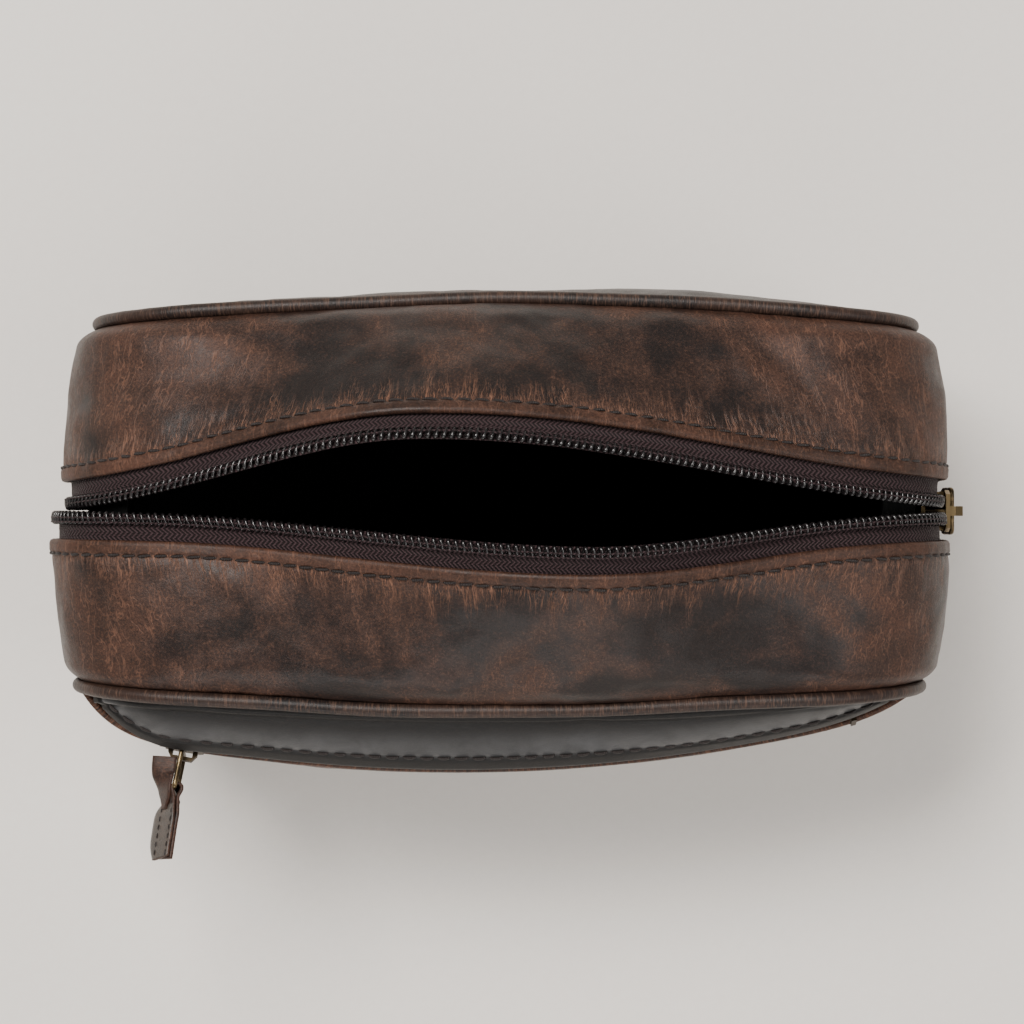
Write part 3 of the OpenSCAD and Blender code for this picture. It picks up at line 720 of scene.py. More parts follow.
def make_strip(side, end):
    low, high = (-S_END, 0) if end == LEFT else (0, S_END)
    s = stations(low, high, 1.3)
    grid, worn, s2, t = strip_grid(side, s, COLUMNS)
    flow = flow_map(s2, t)
    out = strip_ends(side, s2)[2]
    thick = np.interp(COLUMNS, [0, 3, 4.5, 60], [2.3, 2.3, LEATHER, LEATHER])
    where, which = names(side, end)
    thing = shell(f"strip_{where}_{which}", grid, out, thick, hide, flow, worn,
                  edge_paint=edge_hide, edge_columns=6)
    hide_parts(f"{where}_strip_{which}", f"{where}_lip_strip")
    return hinge(thing)


def along_zip(side, end, inset, step, low=0.0, high=S_END - 1.0):
    """Even steps along the mouth at a distance from the zip's edge: s, points, run, across and outward."""
    s = np.linspace(low, high, 900) * end

    def at(values, gap):
        return strip(side, values, 1 - gap / strip_length(side, values))

    line = at(s, inset)
    length = lengths(line)
    s = np.interp(np.arange(0, length[-1], step), length, s)
    point = at(s, inset)
    run = unit(at(s + 0.4, inset) - at(s - 0.4, inset))
    across = unit(at(s, inset - 0.4) - at(s, inset + 0.4))
    out = unit(np.cross(run, across))
    out = out * np.sign(np.sum(out * strip_ends(side, s)[2], axis=-1, keepdims=True))
    return s, point, run, across, out


def make_tape(side, end):
    low, high = (-S_END, 0) if end == LEFT else (0, S_END)
    s = stations(low, high, 1.6)
    gaps = np.concatenate([np.linspace(15, 4, 12), np.linspace(3.4, 0.6, 5)])
    s2 = np.broadcast_to(s[:, None], (len(s), len(gaps)))
    length = strip_length(side, s)[:, None]
    base = strip(side, s2, 1 - gaps[None, :] / length)
    out = strip_ends(side, s2)[2]
    normal = grid_normals(base, out)
    wave = 0.25 * rough(base, 14, 40 + side) * ramp(9.5, 5, gaps)[None, :]
    ridge = 0.16 * hill(gaps, 4.6, 0.5) + 0.1 * hill(gaps, 8.6, 0.4)
    grid = base - normal * (2.25 - wave - ridge[None, :])[..., None]
    flow = flow_map(s2, gaps)
    where, which = names(side, end)
    thing = shell(f"tape_{where}_{which}", grid, out, 0.6, tape_cloth, flow)
    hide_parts(f"{where}_tape_{which}", f"{where}_lip_tape")
    return hinge(thing)


COIL_PITCH = 2.25


def helix(point, run, across, out, turns, wide, high, wire, sides=6, per_turn=14, hand=1):
    """A flattened nylon coil through evenly spaced frames: its heads bulge on the across side."""
    phase = np.linspace(0, 2 * np.pi * turns, int(turns * per_turn))
    where = phase / (2 * np.pi) * (len(point) - 1) / turns

    def at(values):
        low = np.clip(np.floor(where).astype(int), 0, len(point) - 2)
        f = (where - low)[:, None]
        return values[low] * (1 - f) + values[low + 1] * f

    c, a, o, r = at(point), unit(at(across)), unit(at(out)), unit(at(run))
    wave = np.cos(phase)
    centre = (c + a * (np.sign(wave) * np.abs(wave) ** 0.8 * wide / 2)[:, None]
              + o * (hand * np.sin(phase) * high / 2)[:, None])
    thickness = wire * (1 + 0.5 * smooth((wave - 0.5) / 0.4))
    return tube(centre, thickness, sides, r)


def make_coil(side, end):
    _, point, run, across, out = along_zip(side, end, 1.75, COIL_PITCH)
    body = helix(point - out * 1.1, run, across, out, len(point) - 1, 3.2, 1.8, 0.42, hand=end)
    # two rows of thread hold the coil to the tape
    rows = []
    for inset in (1.55, 2.95):
        _, line, _, _, line_out = along_zip(side, end, inset, 1.2)
        bob = 0.12 * np.sin(np.arange(len(line)) * 2 * np.pi * 1.2 / COIL_PITCH)
        rows.append(tube(line - line_out * (0.12 - bob)[:, None], 0.3, 5, line_out))
    points, faces = joined([body, *rows])
    paint_of = np.zeros(len(faces), int)
    paint_of[len(body[1]):] = 1
    where, which = names(side, end)
    thing = piece(f"coil_{where}_{which}", points, faces, nylon, paints=(tape_cloth,),
                  paint_of=paint_of)
    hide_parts(f"{where}_coil_{which}", f"{where}_lip_coil")
    return hinge(thing)


def capsule(centre, run, out, long, wide, sink):
    """One stitch: a rounded thread that dives in at both ends."""
    k = np.linspace(-1, 1, 9)
    line = centre + run * (k * long / 2)[:, None] + out * (-sink * np.abs(k) ** 2.6)[:, None]
    radius = wide / 2 * np.sqrt(np.clip(1 - (np.abs(k) * 0.96) ** 4, 0.04, 1))
    return tube(line, radius, 7, out)


def stitch_run(points, runs, outs, long, wide, lean, seed):
    """Stitches at every frame, each leaning a little and never quite alike."""
    rng = np.random.default_rng(seed)
    parts = []
    for p, r, o in zip(points, runs, outs):
        sideways = np.cross(o, r)
        tilt = lean + rng.normal(0, 0.04)
        way = unit(r * math.cos(tilt) + sideways * math.sin(tilt))
        size = long * (1 + rng.normal(0, 0.05))
        centre = p + sideways * rng.normal(0, 0.06) + o * 0.05
        parts.append(capsule(centre, way, o, size, wide, 0.55))
    return joined(parts)


def make_mouth_stitches(side, end):
    _, point, run, _, out = along_zip(side, end, TAPE_SHOW + STITCH_IN, MOUTH_PITCH, low=MOUTH_PITCH / 2,
                                      high=S_END - 4)
    points, faces = stitch_run(point + out * 0.42, run, out, 4.1, 0.95, 0.1 * side * end, 11 + side + 3 * end)
    where, which = names(side, end)
    thing = piece(f"mouth_stitches_{where}_{which}", points, faces, thread)
    return hinge(thing)


def make_strip_lining(side, end):
    """Black cloth under a strip of the mouth, sewn in at the tape and at the piping."""
    low, high = (-S_END + 2, 0) if end == LEFT else (0, S_END - 2)
    s = stations(low, high, 3.0)
    s2 = np.broadcast_to(s[:, None], (len(s), 18))
    length = strip_length(side, s)[:, None]
    t = 1.5 + np.linspace(1, 0, 18)[None, :] * (np.minimum(46, length - TAPE_SHOW - 8) - 1.5)
    base = strip(side, s2, 1 - (t + TAPE_SHOW) / length)
    out = strip_ends(side, s2)[2]
    normal = grid_normals(base, out)
    sag = 3.6 + (0.9 + 0.8 * cloud(base, 26, 60 + side)) * np.sin(np.pi * np.linspace(1, 0, 18))
    where, which = names(side, end)
    grid = base - normal * sag[..., None]
    thing = shell(f"strip_lining_{where}_{which}", grid, out, 0.5, cloth, base)
    return hinge(thing)


for side in (BACK, FRONT):
    for end in (LEFT, RIGHT):
        make_strip(side, end)
        make_tape(side, end)
        make_coil(side, end)
        make_mouth_stitches(side, end)
        make_strip_lining(side, end)


# ---------------------------------------------------------------- piping

def outline(step=1.5, inset=0.0):
    """A panel's outline in X and Z, anticlockwise from the lower end of its upper right corner."""
    half, low, high = PANEL_HALF - inset, PANEL_LOW + inset, PANEL_TOP - inset
    top, bottom = CORNER_TOP - inset, CORNER_LOW - inset
    parts = []

    def arc(cx, cz, radius, a0, a1):
        a = np.radians(np.linspace(a0, a1, max(6, int(radius * math.radians(abs(a1 - a0)) / step))))
        parts.append(np.stack([cx + radius * np.cos(a), cz + radius * np.sin(a)], -1))

    def line(a, b):
        n = max(2, int(np.hypot(b[0] - a[0], b[1] - a[1]) / step))
        f = np.linspace(0, 1, n)[1:-1, None]
        parts.append(np.array(a)[None] * (1 - f) + np.array(b)[None] * f)

    arc(half - top, high - top, top, 0, 90)
    line((half - top, high), (-half + top, high))
    arc(-half + top, high - top, top, 90, 180)
    line((-half, high - top), (-half, low + bottom))
    arc(-half + bottom, low + bottom, bottom, 180, 270)
    line((-half + bottom, low), (half - bottom, low))
    arc(half - bottom, low + bottom, bottom, 270, 360)
    line((half, low + bottom), (half, high - top))
    return np.concatenate(parts)


PIPING_RADIUS = 2.1


def make_piping(side):
    path = outline(1.3)
    x, z = path[:, 0], path[:, 1]
    line = np.stack([pulled(side, x, z), seam(side, x) + seam_wave(side, x, z), z], -1)
    length = lengths(line)
    radius = PIPING_RADIUS + 0.05 * rough(line, 6, 31) + 0.03 * rough(line, 2, 33)
    sides = 20
    points, faces = tube(line, radius, sides, np.array([0.0, 1.0, 0.0]), closed=True)
    angle = np.tile(np.linspace(0, 2 * np.pi, sides, endpoint=False), len(line))
    flow = flow_map(np.repeat(length, sides), angle * PIPING_RADIUS)
    corner = hill(np.abs(points[:, 0]), 112, 16)
    worn = np.clip(0.1 + 0.4 * corner + 0.25 * cloud(points, 40, 50), 0, 1)
    where = "back" if side == BACK else "front"
    thing = piece(f"piping_{where}", points, faces, piping_hide, flow=flow, worn=worn)
    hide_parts(f"{where}_piping")
    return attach(thing, "bag")


for side in (BACK, FRONT):
    make_piping(side)


# ---------------------------------------------------------------- panels

def panel_reach(z):
    """Half of a panel's length at height z."""
    over = np.maximum(0, z - (PANEL_TOP - CORNER_TOP))
    under = np.maximum(0, (PANEL_LOW + CORNER_LOW) - z)
    return (PANEL_HALF - (CORNER_TOP - np.sqrt(np.maximum(0, CORNER_TOP**2 - over**2)))
            - (CORNER_LOW - np.sqrt(np.maximum(0, CORNER_LOW**2 - under**2))))


POCKET_ZIP, POCKET_WINDOW, POCKET_ARC, POCKET_SHIFT, POCKET_DEPTH = 119.0, 7.0, 500.0, -15.0, 84.3
POCKET_TILT = math.radians(17)
POCKET_RECESS = 2.5
OVERHANG = 2.3                  # the band's edge lies this far behind the pocket zip's outermost arc
BAND_STITCH = 5.2               # from a folded edge of the front to its stitches


def front_face(x, z):
    """The swollen front: it follows the pocket zip's arc and falls to the seam at the outline."""
    arc = POCKET_DEPTH - POCKET_ARC + np.sqrt(POCKET_ARC**2 - (x - POCKET_SHIFT) ** 2)
    edge = -seam(FRONT, x)
    power = np.where(x < 0, 14.0, np.where(z > POCKET_ZIP, 11.0, 14.0))
    share = 1 - np.minimum(1, np.abs(x) / np.maximum(panel_reach(z), 1)) ** power
    top = POCKET_ZIP + POCKET_WINDOW
    upper = (1 - ((np.abs(z - PANEL_MIDDLE)) / 70) ** 3.5) / (1 - ((top - PANEL_MIDDLE) / 70) ** 3.5)
    lower = 1.055 * (1 - (np.abs(z - PANEL_MIDDLE) / 70) ** 5)
    pushed = 1.5 * hill(x, -101, 12) * ramp(138, 126, z)
    swell = np.where(z > POCKET_ZIP, (arc - OVERHANG + pushed - edge) * upper, (arc - edge) * lower)
    return -edge - swell * share


def back_face(x, z):
    share = 1 - np.minimum(1, np.abs(x) / np.maximum(panel_reach(z), 1)) ** 4
    swell = 4.6 + 2.4 * hill(x, 62, 45)
    return seam(BACK, x) + swell * share * (1 - (np.abs(z - PANEL_MIDDLE) / 70) ** 5)


def panel_border(c, z, top):
    """Points of the outline above (or below) height z, at shares c from -1, left, to 1, right."""
    reach = float(panel_reach(np.array(z)))
    ring = outline(0.8)
    keep = ring[ring[:, 1] > z] if top else ring[ring[:, 1] < z]
    angle = np.arctan2(keep[:, 0], (keep[:, 1] - 70) * (1 if top else -1))
    keep = keep[np.argsort(angle)]
    keep = np.concatenate([[[-reach, z]], keep, [[reach, z]]])
    length = lengths(keep)
    want = (c + 1) / 2 * length[-1]
    return np.stack([np.interp(want, length, keep[:, 0]), np.interp(want, length, keep[:, 1])], -1), reach


def front_piece(name, z_edge, top, node, paint, worn_at):
    """A front panel from its folded zip edge, at z_edge, to the outline above it or below it."""
    c = np.sin(np.linspace(-1, 1, 190) * np.pi / 2) * 0.997
    border, reach = panel_border(c, z_edge, top)
    start = np.stack([reach * c, np.full(len(c), z_edge)], -1)
    rows = 30 if top else 64
    v = np.linspace(0, 1, rows)
    v = np.where(v < 0.5, v, 1 - 0.5 * (2 * (1 - v)) ** 1.35)[::-1]
    xz = border[:, None] * v[None, :, None] + start[:, None] * (1 - v[None, :, None])
    x, z = xz[..., 0], xz[..., 1]
    y = front_face(x, z)
    x = pulled(FRONT, x, z)
    grid = np.stack([x, y, z], -1)
    out = np.broadcast_to(np.array([0, -1.0, 0.15 if top else 0]), grid.shape)
    normal = grid_normals(grid, out)
    from_edge = np.linalg.norm(grid - grid[:, -1:], axis=-1)
    from_border = np.linalg.norm(grid - grid[:, :1], axis=-1)
    inland = ramp(1, 9, from_edge) * ramp(0, 10, from_border)
    soft = (0.6 if top else 1.1) * cloud(grid, 38, 70) * inland + 0.12 * cloud(grid, 8, 75, 2) * inland
    groove = -0.34 * hill(from_edge, BAND_STITCH, 0.8)
    fold = 0.7 * ramp(BAND_STITCH + 0.6, BAND_STITCH - 1.0, from_edge)
    dent = 0.0
    if top:
        dent = (1.3 * np.exp(-((x - 24) / 6) ** 2 - ((from_border - 9) / 6) ** 2)
                - 0.8 * hill(from_border, 3.3, 0.9)
                + 0.4 * hill(from_border, 5.2, 0.7))
    grid = grid + normal * (soft + groove + fold * 0.6 - dent)[..., None]
    flow = flow_map(x, from_edge)
    worn = np.clip(worn_at(x, z, from_edge, from_border) + 0.15 * cloud(grid, 26, 77), 0, 1)
    thick = np.interp(np.linspace(0, 1, rows), [0, 0.9, 1], [LEATHER, LEATHER, 2.2])
    thing = shell(name, grid, out, thick, paint, flow, worn)
    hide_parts(node)
    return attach(thing, "bag")


front_piece("front_upper_panel", POCKET_ZIP + POCKET_WINDOW, True, "front_upper_panel", smooth_hide,
            lambda x, z, e, b: 0.05 + 0.5 * hill(np.abs(x), 108, 12) + 0.3 * ramp(4, 0, b))
front_piece("pocket_panel", POCKET_ZIP - POCKET_WINDOW, False, "pocket_panel", hide,
            lambda x, z, e, b: 0.15 + 0.5 * ramp(6, 0, e) + 0.5 * ramp(16, 0, b)
            + 0.4 * hill(np.abs(x), 112, 14))


def make_front_stitches():
    """One row along the band above the pocket zip and one along the pocket's own edge."""
    for name, z_edge, up, seed in (("pocket_stitches_upper", POCKET_ZIP + POCKET_WINDOW, 1, 5),
                                   ("pocket_stitches_lower", POCKET_ZIP - POCKET_WINDOW, -1, 6)):
        reach = float(panel_reach(np.array(z_edge))) - 5
        x = np.linspace(-reach, reach, 1200)
        rise = np.linspace(0, 12, 60)
        # follow the face away from the edge until the stitch distance is reached
        z_line = np.empty_like(x)
        for i, xi in enumerate(x):
            zz = z_edge + up * rise
            yy = front_face(np.full_like(zz, xi), zz)
            run = np.concatenate([[0], np.cumsum(np.hypot(np.diff(zz), np.diff(yy)))])
            z_line[i] = np.interp(BAND_STITCH, run, zz)
        line = np.stack([x, front_face(x, z_line), z_line], -1)
        length = lengths(line)
        want = np.arange(3, length[-1], 5.3)
        xs = np.interp(want, length, x)
        zs = np.interp(want, length, z_line)

        def at(px, pz):
            return np.stack([pulled(FRONT, px, pz), front_face(px, pz), pz], -1)

        point = at(xs, zs)
        run = unit(at(xs + 0.5, zs) - at(xs - 0.5, zs))
        upward = unit(at(xs, zs + 0.5) - at(xs, zs - 0.5))
        out = unit(np.cross(run, upward))
        out = out * np.where(out[:, 1:2] > 0, -1, 1)
        points, faces = stitch_run(point + out * (0.12 if up > 0 else -0.25), run, out, 4.0, 1.0, 0.05, seed)
        thing = piece(name, points, faces, thread)
        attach(thing, "bag")


make_front_stitches()


def make_back_panel():
    """The plain back, in rings from its piped outline to its middle."""
    ring = outline(2.0, 1.0)
    share = np.concatenate([np.linspace(1, 0.9, 12), np.linspace(0.885, 0.03, 46)])
    centre = np.array([0, PANEL_MIDDLE])
    xz = centre + (ring[:, None] - centre) * share[None, :, None]
    x, z = xz[..., 0], xz[..., 1]
    grid = np.stack([pulled(BACK, x, z), back_face(x, z), z], -1)
    wrap = np.concatenate([grid, grid[:1]], 0)
    wide = np.concatenate([grid[-1:], wrap, grid[1:2]], 0)
    normal = unit(np.cross(np.gradient(wide, axis=0), np.gradient(wide, axis=1)))[1:-1]
    normal = normal * np.sign(np.sum(normal[..., 1]))
    depth = np.linalg.norm(wrap - wrap[:, :1], axis=-1)
    soft = 1.2 * cloud(wrap, 46, 90) * ramp(0, 14, depth) + 0.14 * cloud(wrap, 8, 92, 2) * ramp(2, 10, depth)
    outer = (wrap + normal * soft[..., None])[:-1]
    inner = outer - normal[:-1] * LEATHER
    n, m = outer.shape[:2]
    points = np.concatenate([outer.reshape(-1, 3), inner.reshape(-1, 3)])
    index = np.arange(n * m).reshape(n, m)
    a, b = index, np.roll(index, -1, 0)
    top = np.stack([a[:, :-1], a[:, 1:], b[:, 1:], b[:, :-1]], -1).reshape(-1, 4)
    faces = top.tolist() + (top[:, ::-1] + n * m).tolist()
    faces += np.stack([a[:, 0], b[:, 0], b[:, 0] + n * m, a[:, 0] + n * m], -1).tolist()
    faces += [index[:, -1].tolist()[::-1], (index[:, -1] + n * m).tolist()]
    first = points[faces[0]]
    if np.cross(first[1] - first[0], first[3] - first[0])[1] < 0:
        faces = [f[::-1] for f in faces]
    border = depth[:-1].ravel()
    worn = np.clip(0.12 + 0.55 * ramp(14, 0, border) + 0.4 * cloud(outer.reshape(-1, 3), 44, 95), 0, 1)
    flow = flow_map(points[:n * m, 0], 60 + points[:n * m, 2])
    thing = piece("back_panel", points, faces, hide, worn=np.concatenate([worn, worn * 0]),
                  flow=np.concatenate([flow, flow]))
    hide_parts("back_panel")
    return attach(thing, "bag")


make_back_panel()


# ---------------------------------------------------------------- base gusset

def make_base_gusset():
    """The base and the lower ends in one piece, flat where it stands, sewn over the mouth strips' ends."""
    edge_z = 61.0
    drop = np.concatenate([np.linspace(0, 4, 6), np.linspace(5, 30, 20)])
    # down an end by its height, then round the lower corner by its angle
    half_path = [(edge_z - value, 0.0) for value in drop]
    half_path += [(None, angle) for angle in np.linspace(0, 90, 26)[1:]]
    rows = []
    cols = np.concatenate([np.linspace(-1, -0.84, 9), np.linspace(-0.81, 0.81, 55), np.linspace(0.84, 1, 9)])
    for side in (LEFT, RIGHT):
        block = []
        for z, angle in half_path:
            line = []
            for v in cols:
                y = seam(BACK, PANEL_HALF) * (v + 1) / 2 + seam(FRONT, PANEL_HALF) * (1 - v) / 2
                strip_side = BACK if y > ZIP_LINE else FRONT
                edge = seam(strip_side, PANEL_HALF)
                u = (edge - y) / (edge - ZIP_LINE)
                full = float(strip(strip_side, side * S_END, min(max(u, 0), 1))[0]) * side - PANEL_HALF
                low = 3.0 * (1 - abs(v) ** 12)
                fade = float(ramp(31, 45, 31 if z is None else z))
                bulge = low + (full + 1.6 - low) * fade
                if z is None:
                    r = CORNER_LOW + low
                    a = math.radians(angle)
                    line.append((side * (PANEL_HALF - CORNER_LOW + r * math.cos(a)),
                                 y, PANEL_LOW + CORNER_LOW - r * math.sin(a)))
                else:
                    line.append((side * (PANEL_HALF + bulge), y, z))
            block.append(line)
        rows.append(np.array(block))
    left, right = rows[0], rows[1][::-1]
    f = np.linspace(0, 1, 120)[1:-1, None, None]
    floor_rows = left[-1:] * (1 - f) + right[:1] * f
    grid = np.concatenate([left, floor_rows, right])
    seam_shift = np.stack([seam(BACK, grid[:, -1, 0]) - seam(BACK, PANEL_HALF),
                           seam(FRONT, grid[:, 0, 0]) - seam(FRONT, PANEL_HALF)], -1)
    share = ((cols + 1) / 2)[None, :]
    grid[..., 1] += seam_shift[:, :1] * share + seam_shift[:, 1:] * (1 - share)
    normal = grid_normals(grid, grid - np.array([0, 0, 60.0]))
    upright = ramp(6, 30, grid[..., 2])
    rim = 1 - np.abs(cols[None, :]) ** 8
    from_top = np.maximum(0, edge_z - grid[..., 2])
    soft = 0.8 * cloud(grid, 30, 110) * upright * rim * ramp(2, 10, from_top)
    groove = -0.34 * hill(from_top, 4, 0.8) + 0.5 * ramp(5, 3.4, from_top)
    grid = grid + normal * ((soft + groove * ramp(40, 50, grid[..., 2]))[..., None])
    grid[..., 2] = np.maximum(grid[..., 2], 0.0)
    scuffed = 0.5 * hill(grid[..., 2], 12, 12) * (np.abs(grid[..., 0]) > 95)
    worn = np.clip(0.2 + 0.5 * (1 - rim) + 0.5 * ramp(7, 1, from_top) + scuffed + 0.3 * cloud(grid, 36, 112),
                   0, 1)
    flow = flow_map(grid[..., 1], from_top)
    thing = shell("base_gusset", grid, grid - np.array([0, 0, 60.0]), LEATHER, hide, flow, worn)
    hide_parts("base_gusset")
    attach(thing, "bag")
    for side in (LEFT, RIGHT):
        y = np.arange(-52, 50, 5.0)
        xs = []
        for value in y:
            strip_side = BACK if value > ZIP_LINE else FRONT
            edge = seam(strip_side, PANEL_HALF)
            u = (edge - value) / (edge - ZIP_LINE)
            xs.append(float(strip(strip_side, side * S_END, u)[0]) + side * 2.0)
        point = np.stack([np.array(xs), y, np.full(len(y), edge_z - 4)], -1)
        run = unit(np.gradient(point, axis=0))
        out = np.tile([side * 1.0, 0, 0], (len(y), 1))
        points, faces = stitch_run(point, run, out, 4.0, 0.85, 0.06, 23 + side)
        word = "left" if side == LEFT else "right"
        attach(piece(f"end_stitches_{word}", points, faces, thread), "bag")


make_base_gusset()


# ---------------------------------------------------------------- pocket zip

def pocket_frame(x, depth, up):
    """Points of the pocket zip's leaning face, depth behind the leather and up the face, and its frame."""
    angle = np.arcsin((x - POCKET_SHIFT) / POCKET_ARC)
    out = np.stack([np.sin(angle) * math.cos(POCKET_TILT), -np.cos(angle) * math.cos(POCKET_TILT),
                    np.full_like(angle, math.sin(POCKET_TILT))], -1)
    rise = np.stack([-np.sin(angle) * math.sin(POCKET_TILT), np.cos(angle) * math.sin(POCKET_TILT),
                     np.full_like(angle, math.cos(POCKET_TILT))], -1)
    run = np.stack([np.cos(angle), np.sin(angle), np.zeros_like(angle)], -1)
    base = np.stack([x, POCKET_ARC - POCKET_DEPTH - np.cos(angle) * POCKET_ARC,
                     np.full_like(x, POCKET_ZIP)], -1)
    return base - out * (depth + POCKET_RECESS) + rise * up, run, rise, out


def make_pocket_zip():
    for up, label in ((1, "upper"), (-1, "lower")):
        x = np.linspace(-120.5, 120.5, 180)
        gaps = np.linspace(0.7, 11, 14)[::-1]
        grid = np.stack([pocket_frame(x, 2.3 + 0.006 * g * g, up * g)[0] for g in gaps], 1)
        out = pocket_frame(x, 0, 0)[3][:, None] * np.ones((1, len(gaps), 1))
        grid[..., 1] = np.maximum(grid[..., 1], front_face(grid[..., 0], grid[..., 2]) + 2.9)
        flow = flow_map(grid[..., 0], gaps)
        tape = shell(f"pocket_tape_{label}", grid, out, 0.6, tape_cloth, flow)
        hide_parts(f"pocket_tape_{label}")
        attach(tape, "bag")
        step = 1.9
        xs = np.arange(-108, 108, step) + (step / 2 if up > 0 else 0)
        point, run, rise, face = pocket_frame(xs, 0.75, up * 1.75)
        point[:, 1] = np.maximum(point[:, 1], front_face(point[:, 0], point[:, 2]) + 2.2)
        body = helix(point, run, -up * rise, face, len(xs) - 1, 2.9, 1.7, 0.38, hand=up)
        line, _, _, _ = pocket_frame(np.arange(-108, 108, 1.2), -0.05, up * 2.0)
        line[:, 1] = np.maximum(line[:, 1], front_face(line[:, 0], line[:, 2]) + 1.4)
        row = tube(line, 0.26, 5, np.array([0.0, -1.0, 0.3]))
        points, faces = joined([body, row])
        paint_of = np.zeros(len(faces), int)
        paint_of[len(body[1]):] = 1
        coil = piece(f"pocket_coil_{label}", points, faces, nylon, paints=(tape_cloth,),
                     paint_of=paint_of)
        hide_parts(f"pocket_coil_{label}")
        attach(coil, "bag")


make_pocket_zip()


# ---------------------------------------------------------------- linings

def make_linings():
    """Black cloth inside: the back, the wall before the pocket, the pocket's own, and the base."""
    def sheet(name, node, face, inset, z_low, z_high, seed, sag):
        c = np.linspace(-1, 1, 90)
        z = np.linspace(z_low, z_high, 50)
        reach = panel_reach(z) - inset
        x = c[:, None] * reach[None, :]
        zz = np.broadcast_to(z, x.shape)
        y = face(x, zz)
        grid = np.stack([x, y, zz], -1)
        grid[..., 1] += sag * (0.6 + cloud(grid, 34, seed)) * (1 - c[:, None] ** 6)
        out = np.broadcast_to(np.array([0, 1.0, 0]) * (1 if "back" in name else -1), grid.shape)
        thing = shell(name, grid, out, 0.5, cloth, grid)
        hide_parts(node)
        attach(thing, "bag")

    sheet("back_lining", "back_lining", lambda x, z: back_face(x, z) - 4.0, 6, 8, 137, 130, -1.4)
    sheet("front_lining", "front_lining", lambda x, z: seam(FRONT, x) + 2.2, 5, 7, 138, 131, 1.2)
    sheet("pocket_lining", "pocket_lining", lambda x, z: seam(FRONT, x) + 0.2, 9, 12, 128, 132, -1.5)

    floor_half = np.linspace(-1, 1, 46)
    z_top = 58.0
    ring = outline(2.0, 0.8)
    keep = ring[(ring[:, 1] < z_top)]
    keep = keep[np.argsort(np.arctan2(keep[:, 0], -(keep[:, 1] - 70)))]
    x, z = keep[:, 0], keep[:, 1]
    v = floor_half[None, :]
    y = (seam(BACK, x)[:, None] - 3.5) * (v + 1) / 2 + (seam(FRONT, x)[:, None] + 3.5) * (1 - v) / 2
    grid = np.stack([np.broadcast_to(x[:, None], y.shape), y, np.broadcast_to(z[:, None], y.shape)], -1)
    grid[..., 2] += 0.8 + 0.6 * (cloud(grid, 30, 140) + 0.8)
    thing = shell("base_lining", grid, grid - np.array([0, 0, 80.0]), 0.5, cloth, grid)
    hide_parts("base_lining")
    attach(thing, "bag")


make_linings()


def make_end_linings():
    """Cloth behind the zip at each end, so that the closed part of the mouth is dark behind the chain."""
    for end, word in ((LEFT, "left"), (RIGHT, "right")):
        s = stations(118, S_END + 2, 3.0) * end
        y = np.linspace(-22, 15, 12)
        _, zip_edge, out = strip_ends(FRONT, s)
        _, other, _ = strip_ends(BACK, s)
        share = ((y - y[0]) / (y[-1] - y[0]))[None, :, None]
        edge = zip_edge[:, None] * (1 - share) + other[:, None] * share
        grid = edge - out[:, None] * 9.0
        grid[..., 1] = y
        outward = out[:, None] * np.ones((1, 12, 1))
        thing = shell(f"end_lining_{word}", grid, outward, 0.5, cloth, grid)
        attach(thing, "bag")


make_end_linings()


# ---------------------------------------------------------------- pull tabs

def ribbon(path, across, wide, thick):
    """A flat strap along path with rounded edges: its points, faces, and which faces are cut edges."""
    run = unit(np.gradient(path, axis=0))
    across = unit(across - dot(across, run) * run)
    up = np.cross(run, across)
    k = np.linspace(-1, 1, 11)
    half = thick / 2 * (1 - 0.35 * np.abs(k) ** 8)
    face = path[:, None] + across[:, None] * (np.reshape(wide, (-1, 1, 1)) * k[None, :, None] / 2)
    loops = np.concatenate([face + up[:, None] * half[None, :, None],
                            face[:, ::-1] - up[:, None] * half[None, ::-1, None]], 1)
    points, faces = loops_to_mesh(loops, len(k))
    edge = np.zeros(len(faces), int)
    row = np.zeros(loops.shape[1], int)
    row[len(k) - 1] = row[-1] = 1
    edge[:(len(path) - 1) * loops.shape[1]] = np.tile(row, len(path) - 1)
    edge[(len(path) - 1) * loops.shape[1]:] = 1
    return points, faces, edge


LAYERS_APART = 0.64


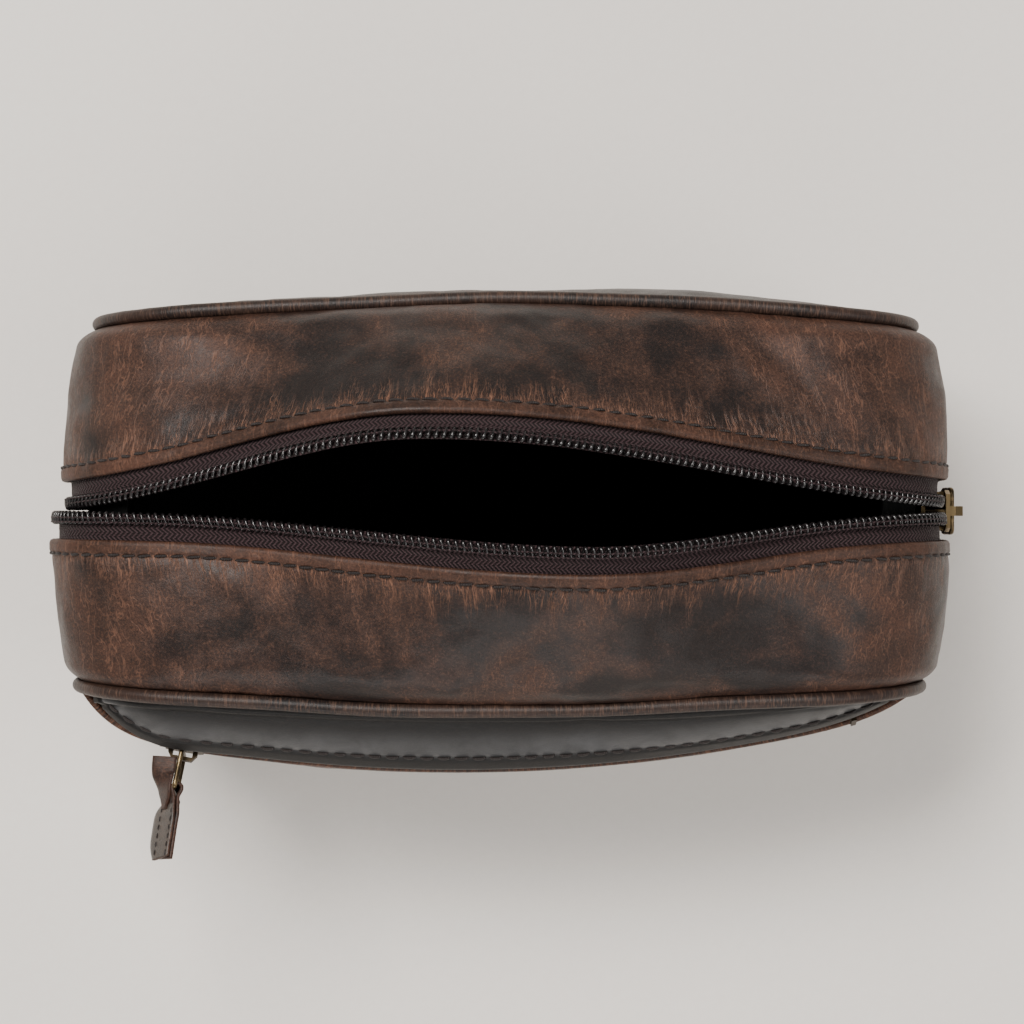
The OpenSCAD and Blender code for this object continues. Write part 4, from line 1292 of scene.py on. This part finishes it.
def make_tab(name, node, body, bar, out, axis, size, lean, flap):
    """A strap folded round the ring's far bar and sewn to itself. lean is its twist, in degrees."""
    bar, out, axis = np.array(bar), np.array(out), np.array(axis)
    side_way = np.cross(out, axis)

    def frame_at(turn):
        turn = np.radians(turn)[:, None]
        return side_way * np.cos(turn) + axis * np.sin(turn), axis * np.cos(turn) - side_way * np.sin(turn)

    def twist(q):
        return lean * (0.35 + 0.65 * ramp(0, 9, q))

    def sway_at(q):
        return 0.35 * np.sin(q / 5.0)

    def apart_at(q):
        """Half of the distance between the strap's two layers, which part to pass the ring."""
        return LAYERS_APART + 0.82 * ramp(3.2, 0, q)

    q = np.linspace(21.6, 0, 44)
    turn, apart, sway = twist(q), apart_at(q), sway_at(q)
    away, wide = frame_at(turn)
    right = bar + (out * q[:, None] + away * (sway - apart)[:, None]) * size
    left = bar + (out * q[:, None] + away * (sway + apart)[:, None]) * size
    bend = np.linspace(0, np.pi, 12)[1:-1]
    first, _ = frame_at(turn[-1:])
    nose = bar + 1.46 * size * (-first * np.cos(bend)[:, None] - out * np.sin(bend)[:, None])
    path = np.concatenate([right, nose, left[::-1]])
    across = np.concatenate([wide, np.repeat(wide[-1:], len(nose), 0), wide[::-1]])
    # the layer that shows is wider on the pocket's tab
    leaf = 2.6 * ramp(3, 10, q) * ramp(22.5, 16, q) if flap else 0.0 * q
    path[-len(q):] -= wide[::-1] * (leaf[::-1] / 2 * size)[:, None]
    strap_width = (8.0 + np.concatenate([np.zeros(len(q) + len(nose)), leaf[::-1]])) * size
    parts = [ribbon(path, across, strap_width, 1.2 * size)]
    if flap:
        # the outer layer's face takes the grey paint that stands in for its sheen, a painted reflection; the
        # strap's last faces, at its cut ends, are left out of it
        strap_points, strap_faces, strap_paint = parts[0]
        at_ends = 24
        centre = strap_points[np.array([f[:4] for f in strap_faces[:-at_ends]])].mean(1) - bar
        depth = centre @ out / size
        turned, _ = frame_at(np.interp(depth, q[::-1], turn[::-1]))
        outside = np.sum(centre * turned, -1) / size - sway_at(depth) > LAYERS_APART + 0.35
        strap_paint[:-at_ends][outside & (depth > 5) & (strap_paint[:-at_ends] == 0)] = 2
        r = np.linspace(6.5, -9.3, 40)
        turn_flap = 30 + 48 * ramp(1.5, -7, r)
        _, wide_flap = frame_at(turn_flap)
        lateral = np.interp(r, [-9.3, -4, 0, 3, 6.5], [5.1, 4.6, 3.4, 2.6, 2.2])
        taper = 7.6 - 4.6 * ramp(1.0, 6.5, r)
        middle = bar + out * r[:, None] + side_way * lateral[:, None] + axis * (0.9 - 0.25 * r)[:, None] * 0.4
        parts.append(ribbon(middle, wide_flap, taper, 1.1))
    points, faces = joined([(a, b) for a, b, _ in parts])
    flow = np.stack([points @ out, np.full(len(points), 60.0), points @ axis], -1)
    worn = np.full(len(points), 0.25)
    thing = piece(name, points, faces, hide, flow=flow, worn=worn, paints=(edge_hide, sheen_painted_tab),
                  paint_of=np.concatenate([e for _, _, e in parts]))
    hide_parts(node)
    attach(thing, body)
    # two rows of stitches through both layers, and one across them below the ring
    spots = [(value, row) for row in (-2.9, 2.9) for value in np.arange(4.4, 20.5, 2.6)]
    spots += [(3.6, row) for row in (-1.3, 1.3)]
    value = np.array([a for a, _ in spots])
    row = np.array([b for _, b in spots])
    away, wide = frame_at(twist(value))
    across_row = np.abs(row) < 2
    runs = np.where(across_row[:, None], wide, np.broadcast_to(out, wide.shape))
    sewn = []
    for face in (-1, 1):
        lift = sway_at(value) + face * (apart_at(value) + 0.6)
        point = bar + (out * value[:, None] + wide * row[:, None] + away * lift[:, None]) * size
        sewn.append(stitch_run(point, runs, away * face, 2.0 * size, 0.6, 0.0, 41 + face))
    points, faces = joined(sewn)
    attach(piece(f"{name}_stitches", points, faces, thread), body)


PIN_OUT, RING_REACH = 3.5, 11.5     # from a zip's face to the ring's pin, and from there to its far bar
MOUTH_SCALE = 1.25                  # the mouth's pull against the pocket's
slider_x = np.array([-100.0])
_, _, arc_rise, arc_out = pocket_frame(slider_x, 0, 0)
pocket_bar = pocket_frame(slider_x, -(PIN_OUT + RING_REACH), 0)[0][0]
mouth_bar = (TOP_RUN + TURN_RADIUS + PIN_OUT * MOUTH_SCALE, ZIP_LINE, 110 - RING_REACH * MOUTH_SCALE)
make_tab("pocket_tab", "pocket_pull_tab", "pocket_tab", pocket_bar, arc_out[0], arc_rise[0], 1.0, 38.0, True)
make_tab("mouth_tab", "mouth_pull_tab", "mouth_tab", mouth_bar, (0, 0, -1), (0, 1, 0), MOUTH_SCALE, 0.0,
         False)


# ---------------------------------------------------------------- metal

for name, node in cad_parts.items():
    if any(word in name for word in ("slider", "ring", "stop")):
        node.data.materials.clear()
        # the pocket's slider and stops take the near-black brass, painted shade under the band's edge
        node.data.materials.append(dull_brass_painted_shade if name.startswith(("pocket_slider", "pocket_stop")) else brass)
        soften = node.modifiers.new("soften", "BEVEL")
        soften.width = 0.00025
        soften.segments = 2
        soften.limit_method = "ANGLE"
    elif "cord" in name:
        node.data.materials.clear()
        node.data.materials.append(thread)
